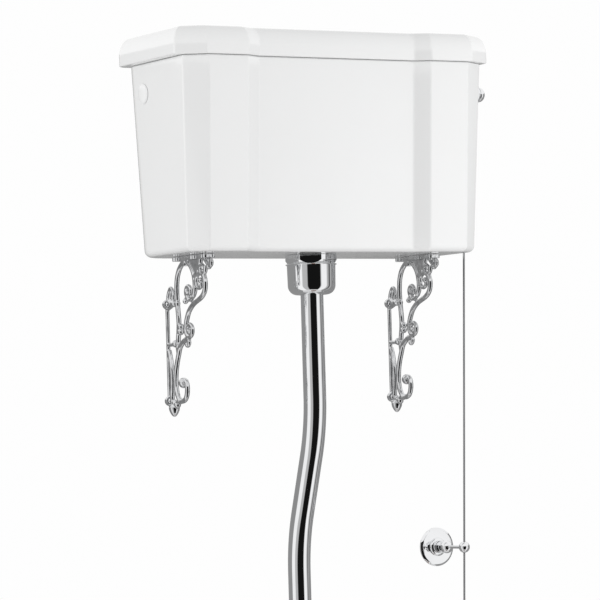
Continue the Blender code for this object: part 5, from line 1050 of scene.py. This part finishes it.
def add_guide():
    """The rose on the wall, the ball-ended arm in its boss and the eye round the rod."""
    eye = guide_eye_centre()
    socket = ROSE_BOSS_HEIGHT - ROSE_SOCKET_DEPTH
    well = GUIDE_NECK_RADIUS + TOUCH
    brim = ROSE_RADIUS - ROSE_CHAMFER_WIDTH
    edge = ROSE_HEIGHT - ROSE_CHAMFER_HEIGHT
    rose = [(0.0, socket), (well, socket), (well, ROSE_BOSS_HEIGHT - TOUCH), (well + TOUCH, ROSE_BOSS_HEIGHT),
            (ROSE_COLLAR_RADIUS - TOUCH, ROSE_BOSS_HEIGHT), (ROSE_COLLAR_RADIUS, ROSE_BOSS_HEIGHT - TOUCH),
            (ROSE_COLLAR_RADIUS, ROSE_STEP_HEIGHT)]
    rose += dome(ROSE_BOSS_RADIUS - ROSE_COLLAR_RADIUS, ROSE_HEIGHT, ROSE_STEP_HEIGHT, 8, ROSE_COLLAR_RADIUS)
    rose += [(brim - TOUCH, ROSE_HEIGHT), (brim + TOUCH, ROSE_HEIGHT - TOUCH / 2),
             (ROSE_RADIUS - TOUCH, edge), (ROSE_RADIUS, edge - TOUCH), (ROSE_RADIUS, 0.0), (0.0, 0.0)]
    disc = turned(rose, Vector((eye.x, -TOUCH, eye.z)), OUTWARDS)
    for side, word in SIDES:
        across = eye.x + side * ROSE_SCREW_OFFSET
        combine(disc, cylinder(ROSE_SCREW_RADIUS + TOUCH, (across, OVERRUN, eye.z),
                               (across, -ROSE_HEIGHT - OVERRUN, eye.z)))
        add_screw("rose_screw_" + word, (across, -ROSE_HEIGHT - 2 * TOUCH, eye.z), OUTWARDS,
                  ROSE_SCREW_HEAD, (ROSE_SCREW_RADIUS, ROSE_HEIGHT), side)
    show(disc, "guide_rose", "turned")
    end = GUIDE_EYE_DEPTH - GUIDE_EYE_RADIUS - TOUCH
    first = math.asin(GUIDE_ARM_RADIUS / GUIDE_BALL_RADIUS)
    last = math.pi - math.asin(GUIDE_GROOVE_RADIUS / GUIDE_BALL_RADIUS)
    arm = [(0.0, end), (GUIDE_ARM_RADIUS, end)]
    arm += [(GUIDE_BALL_RADIUS * sine, GUIDE_BALL_DEPTH + GUIDE_BALL_RADIUS * cosine)
            for sine, cosine in sweep(last, 24, first)]
    arm += [(GUIDE_GROOVE_RADIUS, GUIDE_NECK_DEPTH), (GUIDE_NECK_RADIUS - TOUCH, GUIDE_NECK_DEPTH),
            (GUIDE_NECK_RADIUS, GUIDE_NECK_DEPTH - TOUCH), (GUIDE_NECK_RADIUS, socket + 2 * TOUCH),
            (0.0, socket + 2 * TOUCH)]
    show(turned(arm, (eye.x, 0, eye.z), OUTWARDS), "guide_arm", "turned")
    reach = rod_direction() * (GUIDE_EYE_RADIUS + OVERRUN)
    hole = cylinder(GUIDE_HOLE_RADIUS, eye - reach, eye + reach, 32)
    show(combine(ball(GUIDE_EYE_RADIUS, eye, 64), hole), "guide_eye", "bored")


# Brackets

def bracket_point(reach_share, drop_share):
    return Vector((0, -reach_share * BRACKET_REACH, -drop_share * BRACKET_DROP))


def curl(reach_share, drop_share, first_share, last_share, start_share, turns_share):
    """Points of a spiral in the bracket's plane; its angle grows from the outward side upwards."""
    points = []
    steps = round(abs(turns_share) * 32)
    for step in range(steps + 1):
        angle = math.tau * (start_share + turns_share * step / steps)
        radius = BRACKET_REACH * (first_share + (last_share - first_share) * step / steps)
        arm = Vector((0, -math.cos(angle), math.sin(angle))) * radius
        points.append(bracket_point(reach_share, drop_share) + arm)
    return points


def lobed_plate():
    """The flat bar under the cistern, with pairs of lobes along its sides."""
    half = PLATE_WIDTH / 2
    front = -PLATE_FRONT_SHARE * BRACKET_REACH
    shapes = [box((-half, front, -PLATE_THICKNESS), (half, -PLATE_REAR, 0))]
    for share in LOBE_SHARES:
        for across in (LOBE_INSET - half, half - LOBE_INSET):
            shapes.append(cylinder(LOBE_RADIUS, (across, -share * BRACKET_REACH, 0),
                                   (across, -share * BRACKET_REACH, -PLATE_THICKNESS), 32))
    return shapes


def bracket_casting():
    """The whole casting, fused and softened as metal from a mould is."""
    shapes = lobed_plate()
    collar = -COLLAR_SHARE * BRACKET_REACH
    shapes.append(box((-COLLAR_HALF_WIDTH, collar - COLLAR_HALF_DEPTH, -COLLAR_DROP),
                      (COLLAR_HALF_WIDTH, collar + COLLAR_HALF_DEPTH, -PLATE_THICKNESS / 2)))
    bar = [Vector((0, -BAR_RADIUS - TOUCH, -share * BRACKET_DROP)) for share in BAR_SHARES]
    strands = [(bar, BAR_RADIUS, BAR_RADIUS)]
    for rows, radius in ((STRAND_SHARES, STRAND_RADIUS), (TENDRIL_SHARES, TENDRIL_RADIUS)):
        for places in rows.values():
            strands.append((smooth_route([bracket_point(*place) for place in places], 6), radius, radius))
    strands += [(curl(*place), CURL_RADIUS, TENDRIL_RADIUS) for place in CURL_SHARES.values()]
    for points, root, end in strands:
        last = len(points) - 1
        shapes.append(rod(points, [root + (end - root) * step / last for step in range(last + 1)]))
        if end == TENDRIL_RADIUS:
            shapes.append(ball(BUD_RADIUS, points[-1]))
    shapes += [ball(BEAD_RADIUS, bracket_point(*shares)) for shares in BEAD_SHARES]
    shapes.append(ball(LINK_BALL_RADIUS, bracket_point(*LINK_BALL_SHARES)))
    shapes.append(loft([[bracket_point(*place) + Vector((across, 0, 0)) for place in WEB_SHARES]
                        for across in (-WEB_THICKNESS / 2, WEB_THICKNESS / 2)]))
    shapes.append(ball(HOOK_BALL_RADIUS, bracket_point(*HOOK_BALL_SHARES)))
    levels = [-share * BRACKET_DROP for share in PAD_SHARES]
    shapes += [cylinder(PAD_RADIUS, (0, -TOUCH, level), (0, -BAR_THICKNESS - TOUCH, level))
               for level in levels]
    foot = TIP_LENGTH_SHARE * BRACKET_DROP * (1 - TIP_TOP_SHARE) / TIP_RADIUS
    cone = [(0.0, 0.75), (0.45, 0.65), (0.80, 0.38), (0.74, 0.20), (0.98, 0.05), (1.0, -0.25),
            (0.93, -0.60), (0.76, -1.00), (0.52, 0.36 - foot), (0.27, 0.09 - foot), (0.0, -foot)]
    shapes.append(turned(scaled(cone, TIP_RADIUS, TIP_RADIUS), bracket_point(TIP_REACH_SHARE, TIP_TOP_SHARE)))
    casting = bake(modify(merge(shapes), "REMESH", mode="VOXEL", voxel_size=CASTING_VOXEL))
    for level in levels:
        end = (0, -BAR_THICKNESS - BRACKET_SCREW_HEAD[1] - RUNNING - 3 * TOUCH, level)
        seat = cylinder(BRACKET_SCREW_HEAD[0] + TOUCH, (0, -BAR_THICKNESS - 2 * TOUCH, level), end)
        combine(casting, seat, solver="MANIFOLD")
    modify(casting, "SMOOTH", factor=0.5, iterations=4)
    return bake(modify(casting, "DECIMATE", ratio=CASTING_FACES_KEPT))


def add_brackets():
    casting = bracket_casting()
    for side, word in SIDES:
        place = Vector((side * BRACKET_OFFSET, 0, CISTERN_LEVEL - TOUCH))
        copy = link(casting.data.copy())
        copy.data.transform(Matrix.Translation(place))
        show(copy, word + "_bracket", "cast", "cast_chrome", sharp=80)
        for share, level in zip(PAD_SHARES, ("upper", "lower")):
            seat = place + Vector((0, -BAR_THICKNESS - 3 * TOUCH, -share * BRACKET_DROP))
            add_screw("{}_bracket_screw_{}".format(word, level), seat, OUTWARDS, BRACKET_SCREW_HEAD,
                      (BRACKET_SCREW_RADIUS, BRACKET_SCREW_LENGTH), side)
    bpy.data.objects.remove(casting)


# Pan

def pan_outline(half_width, rear_half_width, rear, front, inset):
    """A rear edge, sides that widen from it, and a round front."""
    shoulder = rear + (front - rear) * PAN_SHOULDER_SHARE
    corners = mirrored_corners(((rear_half_width, rear), (half_width, shoulder), (half_width, front)))
    radii = mirrored((PAN_REAR_CORNER_RADIUS, half_width * PAN_SIDE_ROUND_SHARE,
                      half_width * PAN_FRONT_ROUND_SHARE))
    return rounded_outline(corners, radii, PAN_CORNER_STEPS, inset)


def pan_ring(height, blend, inset=0.0):
    """The pan's outline between its foot, blend 0, and its rim, blend 1."""
    foot = (PAN_FOOT_HALF_WIDTH - PAN_FOOT_FLANGE,
            PAN_FOOT_HALF_WIDTH - PAN_FOOT_FLANGE - PAN_FOOT_NARROWING,
            PAN_FOOT_REAR + PAN_FOOT_FLANGE, PAN_FOOT_FRONT - PAN_FOOT_FLANGE)
    rim = (PAN_HALF_WIDTH, PAN_SHELF_HALF_WIDTH, PAN_REAR, PAN_FRONT)
    values = [low + (high - low) * blend for low, high in zip(foot, rim)]
    return ring_at(pan_outline(*values, inset), height)


def bowl_ring(depth, closing, inset=0.0):
    """The bowl's inside, which closes towards a sump at the rear."""
    half_width = (PAN_HALF_WIDTH - PAN_RIM_WIDTH) * (1 - closing)
    sump = PAN_BOWL_REAR + TRAP_RADIUS * 1.6
    rear = PAN_BOWL_REAR + (sump - TRAP_RADIUS - PAN_BOWL_REAR) * closing
    front = PAN_FRONT - PAN_RIM_WIDTH
    front += (sump + TRAP_RADIUS - front) * closing
    return ring_at(pan_outline(half_width, half_width * 0.75, rear, front, inset), PAN_HEIGHT - depth)


def trap_route():
    """From the sump back over the weir and down into the outlet horn."""
    sump = PAN_BOWL_REAR + TRAP_RADIUS * 1.4
    weir = OUTLET_HORN_LEVEL + TRAP_RADIUS * 0.4
    points = [(sump, PAN_BOWL_FLOOR + TRAP_RADIUS * 1.1), (sump - TRAP_RADIUS, PAN_BOWL_FLOOR + TRAP_RADIUS),
              (sump - TRAP_RADIUS * 2, weir - TRAP_RADIUS * 0.5), (sump - TRAP_RADIUS * 3, weir),
              (sump - TRAP_RADIUS * 4, OUTLET_HORN_LEVEL), (OUTLET_HORN_DEPTH - OVERRUN, OUTLET_HORN_LEVEL)]
    return smooth_route([Vector((0, -depth, height)) for depth, height in points], 5)


def add_pan():
    """Foot flange, body and rim band as one loft; then the horn, the bowl, the trap and the inlet."""
    swell = PAN_FLANGE_HEIGHT * 0.4
    band = PAN_HEIGHT - PAN_RIM_BAND
    edge = PAN_RIM_BAND / 8
    rings = [pan_ring(0.0, 0.0, -PAN_FOOT_FLANGE)]
    rings += [pan_ring(PAN_FLANGE_HEIGHT - up, 0.0, across - PAN_FOOT_FLANGE)
              for across, up in reversed(quarter(PAN_FLANGE_HEIGHT * 0.5, 6))]
    rings += [pan_ring(PAN_FLANGE_HEIGHT + swell - up, 0.0, -across)
              for across, up in reversed(quarter(swell, 5))]
    rings += [pan_ring(PAN_HEIGHT * share, blend) for share, blend in smooth_shares(PAN_PROFILE_SHARES, 6)]
    rings += [pan_ring(band, 1.0, edge / 2), pan_ring(band + edge * 0.4, 1.0, edge * 0.15),
              pan_ring(band + edge, 1.0)]
    rings += [pan_ring(PAN_HEIGHT - up, 1.0, across) for across, up in reversed(quarter(PAN_RIM_ROUND, 6))]
    inner = PAN_FOOT_REAR + TRAP_RADIUS * 1.5
    wide, narrow = OUTLET_HORN_RADIUS, OUTLET_HORN_RADIUS - 0.004
    horn = ((0.0, 1.0), (wide - 0.003, 1.0), (wide, 0.95), (wide, 0.70), (narrow, 0.66), (narrow, 0.0),
            (0.0, 0.0))
    pan = combine(loft(rings), turned(scaled(horn, 1.0, inner - OUTLET_HORN_DEPTH),
                                      (0, -inner, OUTLET_HORN_LEVEL), REARWARDS), operation="UNION")
    bowl = [bowl_ring(-OVERRUN, 0.0, -PAN_RIM_ROUND)]
    bowl += [bowl_ring(up, 0.0, -across) for across, up in quarter(PAN_RIM_ROUND, 6)]
    bowl += [bowl_ring((PAN_HEIGHT - PAN_BOWL_FLOOR) * share, closing)
             for share, closing in smooth_shares(BOWL_PROFILE_SHARES, 5)[1:]]
    trap = trap_route()
    combine(pan, loft(bowl), rod(trap, [TRAP_RADIUS] * len(trap), 14),
            cylinder(FLUSH_INLET_RADIUS, (0, -PAN_REAR + OVERRUN, FLUSH_INLET_LEVEL),
                     (0, -PAN_BOWL_REAR - PAN_RIM_WIDTH / 2, FLUSH_INLET_LEVEL)))
    show(pan, "toilet_pan", "glazed", "ceramic", sharp=34)
    for side, word in SIDES:
        across = side * (PAN_FOOT_HALF_WIDTH - PAN_FOOT_FLANGE / 2)
        add_screw("floor_screw_" + word, (across, -FLOOR_SCREW_DEPTH, PAN_FLANGE_HEIGHT + 2 * TOUCH),
                  (0, 0, 1), FLOOR_SCREW_HEAD, (FLOOR_SCREW_RADIUS, PAN_FLANGE_HEIGHT - TOUCH), side)


# Seat

def seat_ring_at(height, inset):
    half_width = PAN_HALF_WIDTH * SEAT_WIDTH_SHARE
    return ring_at(pan_outline(half_width, half_width * 0.72, HINGE_DEPTH + SEAT_REAR_GAP,
                               PAN_FRONT + SEAT_FRONT_OVERHANG, inset), height)


def add_seat_ring():
    """The ring's section is a flat oblong with well rounded corners."""
    low = PAN_HEIGHT + BUFFER_HEIGHT + SEAT_ROUND
    high = PAN_HEIGHT + BUFFER_HEIGHT + SEAT_THICKNESS - SEAT_ROUND
    inner = SEAT_RING_WIDTH - SEAT_ROUND
    rings = []
    for quarters, (across, level) in enumerate(((SEAT_ROUND, low), (SEAT_ROUND, high), (inner, high),
                                                (inner, low)), -1):
        rings += [seat_ring_at(level + SEAT_ROUND * sine, across - SEAT_ROUND * cosine)
                  for sine, cosine in sweep((quarters + 1) * QUARTER, 6, quarters * QUARTER)]
    show(loft(rings, closed=True), "seat_ring", "stained", "wood", "seat", 50)


def hinge_axis(across):
    return Vector((across, -HINGE_DEPTH, PAN_HEIGHT + HINGE_HEIGHT))


def add_hinges():
    """The bar, the posts that carry it and the seat's straps, each rolled round it in a knuckle."""
    span = HINGE_SPREAD + HINGE_POST_RADIUS
    bar = [(0.0, 2 * span), (HINGE_BAR_RADIUS * 0.8, 2 * span), (HINGE_BAR_RADIUS, 2 * span - HINGE_BAR_EDGE),
           (HINGE_BAR_RADIUS, HINGE_BAR_EDGE), (HINGE_BAR_RADIUS * 0.8, 0.0), (0.0, 0.0)]
    show(turned(bar, hinge_axis(-span), RIGHTWARDS, steps=48), "hinge_bar", "turned", sharp=50)
    top = PAN_HEIGHT + BUFFER_HEIGHT + SEAT_THICKNESS + TOUCH
    neck = HINGE_HEIGHT - HINGE_BAR_RADIUS * 1.3
    foot = [(0.0, neck), (HINGE_POST_RADIUS * 0.7, neck),
            (HINGE_POST_RADIUS * 0.7, HINGE_FOOT_HEIGHT + 0.002),
            (HINGE_POST_RADIUS * 0.9, HINGE_FOOT_HEIGHT + 0.0006), (HINGE_FOOT_RADIUS, HINGE_FOOT_HEIGHT),
            (HINGE_FOOT_RADIUS, TOUCH), (0.0, TOUCH)]
    for side, word in SIDES:
        centre = hinge_axis(side * HINGE_SPREAD)
        post = [turned(foot, (centre.x, centre.y, PAN_HEIGHT), steps=64),
                washer(HINGE_POST_RADIUS, HINGE_BAR_RADIUS + TOUCH, HINGE_POST_RADIUS * 1.5, PLAIN_EDGE,
                       centre, RIGHTWARDS, 64)]
        show(merge(post), "hinge_post_" + word, "turned")
        centre = hinge_axis(side * HINGE_KNUCKLE_OFFSET)
        leaf = [washer(HINGE_KNUCKLE_RADIUS, HINGE_BAR_RADIUS + RUNNING, HINGE_KNUCKLE_LENGTH, PLAIN_EDGE,
                       centre, RIGHTWARDS, 64)]
        for front, low, rear, high in (
                (LEAF_LENGTH, top, HINGE_KNUCKLE_RADIUS * 0.7, top + LEAF_THICKNESS),
                (HINGE_KNUCKLE_RADIUS + TOUCH, centre.z, HINGE_BAR_RADIUS * 1.4,
                 top + LEAF_THICKNESS - TOUCH)):
            plate = box((centre.x - LEAF_WIDTH / 2, -HINGE_DEPTH - front, low),
                        (centre.x + LEAF_WIDTH / 2, -HINGE_DEPTH - rear, high))
            leaf.append(bake(modify(plate, "BEVEL", width=PLAIN_EDGE, segments=3)))
        show(merge(leaf), "seat_hinge_" + word, "formed", body="seat")


def add_buffers():
    rear_half = PAN_HALF_WIDTH * SEAT_WIDTH_SHARE - SEAT_RING_WIDTH / 2
    length = PAN_FRONT - HINGE_DEPTH
    height = BUFFER_HEIGHT - 2 * TOUCH
    pad = [(0.0, height), (BUFFER_RADIUS, height), (BUFFER_RADIUS * 0.86, 0.0), (0.0, 0.0)]
    for side, word in SIDES:
        for place, share, across in (("front", 0.70, rear_half * 0.97), ("rear", 0.30, rear_half)):
            foot = (side * across, -HINGE_DEPTH - length * share, PAN_HEIGHT + TOUCH)
            show(turned(pad, foot, steps=48, edge=BUFFER_EDGE), "seat_buffer_{}_{}".format(place, word),
                 "moulded", "white_rubber", "seat", 38)


# Studio

def add_camera():
    data = bpy.data.cameras.new("camera")
    data.lens = CAMERA_LENS
    data.sensor_width = CAMERA_SENSOR_WIDTH
    data.clip_end = 100.0
    camera = link(data)
    ahead = Vector((math.sin(CAMERA_TURN), math.cos(CAMERA_TURN), 0))
    right = Vector((math.cos(CAMERA_TURN), -math.sin(CAMERA_TURN), 0))
    forward = ahead * math.cos(CAMERA_PITCH) + Vector((0, 0, math.sin(CAMERA_PITCH)))
    above = Vector((0, 0, math.cos(CAMERA_PITCH))) - ahead * math.sin(CAMERA_PITCH)
    side = right * math.cos(CAMERA_ROLL) - above * math.sin(CAMERA_ROLL)
    up = right * math.sin(CAMERA_ROLL) + above * math.cos(CAMERA_ROLL)
    turn = Matrix((side, up, -forward)).transposed()
    camera.matrix_world = Matrix.Translation(CAMERA_PLACE) @ turn.to_4x4()
    bpy.context.scene.camera = camera


def dress_frame():
    """Gives each CAD node that stays the finish that its own material names, and smooth shading with its
    sharp edges split.
    """
    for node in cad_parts.values():
        old = node.data.materials[0].name
        node.data.materials[0] = FINISHES[max((finish for finish in FINISHES if finish in old), key=len)]
        modify(node, "WELD", merge_threshold=0.00002)
        node.data.shade_smooth()
        modify(node, "EDGE_SPLIT", split_angle=math.radians(38))


def add_floor():
    """Seen at its own pale colour; as a source of bounced light it counts as a darker floor."""
    data = bpy.data.meshes.new("floor")
    data.from_pydata([(-8, -8, 0), (8, -8, 0), (8, 8, 0), (-8, 8, 0)], [], [(0, 1, 2, 3)])
    floor = link(data)
    paint = surface("floor_paint", (0.86, 0.86, 0.86), (0.84, 0.84, 0.84), 2.0, (0.6, 0.7, 10.0),
                    (0.0005, 60.0, 0.1))
    tree = paint.node_tree
    level = add_node(tree, "MapRange", To_Min=FLOOR_BOUNCE,
                     Value=add_node(tree, "LightPath").outputs["Is Camera Ray"])
    shade = add_node(tree, "HueSaturation", Value=level.outputs["Result"],
                     Color=tree.nodes["Color Ramp"].outputs["Color"])
    connect(tree.nodes["Principled BSDF"], Base_Color=shade.outputs["Color"])
    floor.data.materials.append(paint)


def add_ring():
    """A round of pale and dark screens that only shows in what is polished."""
    ring = turned(RING_PROFILE, (0, 0, 0))
    ring.name = "studio_ring"
    ring.location = RING_PLACE
    ring.rotation_euler = (0, 0, RING_TURN)
    ring.visible_camera = False
    ring.visible_diffuse = False
    ring.visible_shadow = False
    material, tree = add_material("studio_screens")
    around = add_node(tree, "TexGradient", Vector=add_node(tree, "TexCoord").outputs["Object"])
    around.gradient_type = "RADIAL"
    colour = add_ramp(tree, around.outputs["Fac"],
                      [(turn / 360 + 0.5, (grey, grey, grey)) for turn, grey in STUDIO_RING])
    glow = add_node(tree, "Emission", Color=colour)
    connect(tree.nodes["Material Output"], Surface=glow.outputs["Emission"])
    ring.data.materials.append(material)


def add_world():
    """White to the camera and in reflections, and a little less as a light."""
    world = bpy.data.worlds.new("studio")
    bpy.context.scene.world = world
    world.use_nodes = True
    tree = world.node_tree
    rays = add_node(tree, "LightPath")
    seen = rays.outputs["Is Camera Ray"]
    for kind in ("Is Glossy Ray", "Is Transmission Ray"):
        either = add_node(tree, "Math")
        either.operation = "MAXIMUM"
        tree.links.new(seen, either.inputs[0])
        tree.links.new(rays.outputs[kind], either.inputs[1])
        seen = either.outputs[0]
    level = add_node(tree, "MapRange", Value=seen, To_Min=SOFT_LIGHT, To_Max=BACKGROUND)
    connect(tree.nodes["Background"], Strength=level.outputs["Result"], Color=(1, 1, 1, 1))


def add_lamp(name, place, target, size, power):
    data = bpy.data.lights.new(name, "AREA")
    data.size = size
    data.energy = power
    lamp = link(data)
    lamp.location = place
    lamp.visible_glossy = False
    lamp.rotation_mode = "QUATERNION"
    lamp.rotation_quaternion = (Vector(target) - Vector(place)).to_track_quat("-Z", "Y")


def main():
    add_camera()
    dress_frame()
    add_tank()
    add_lid()
    add_side_cap()
    add_float()
    add_cup_nut()
    add_pipe("flush_pipe_upper", upper_pipe_route())
    add_pipe("flush_pipe_lower", lower_pipe_route())
    add_pipe_fittings()
    add_lever()
    add_pull()
    add_guide()
    add_brackets()
    add_pan()
    add_seat_ring()
    add_hinges()
    add_buffers()
    add_floor()
    add_ring()
    add_world()
    for lamp in LAMPS:
        add_lamp(*lamp)
    bpy.context.scene.view_settings.view_transform = "Standard"


main()
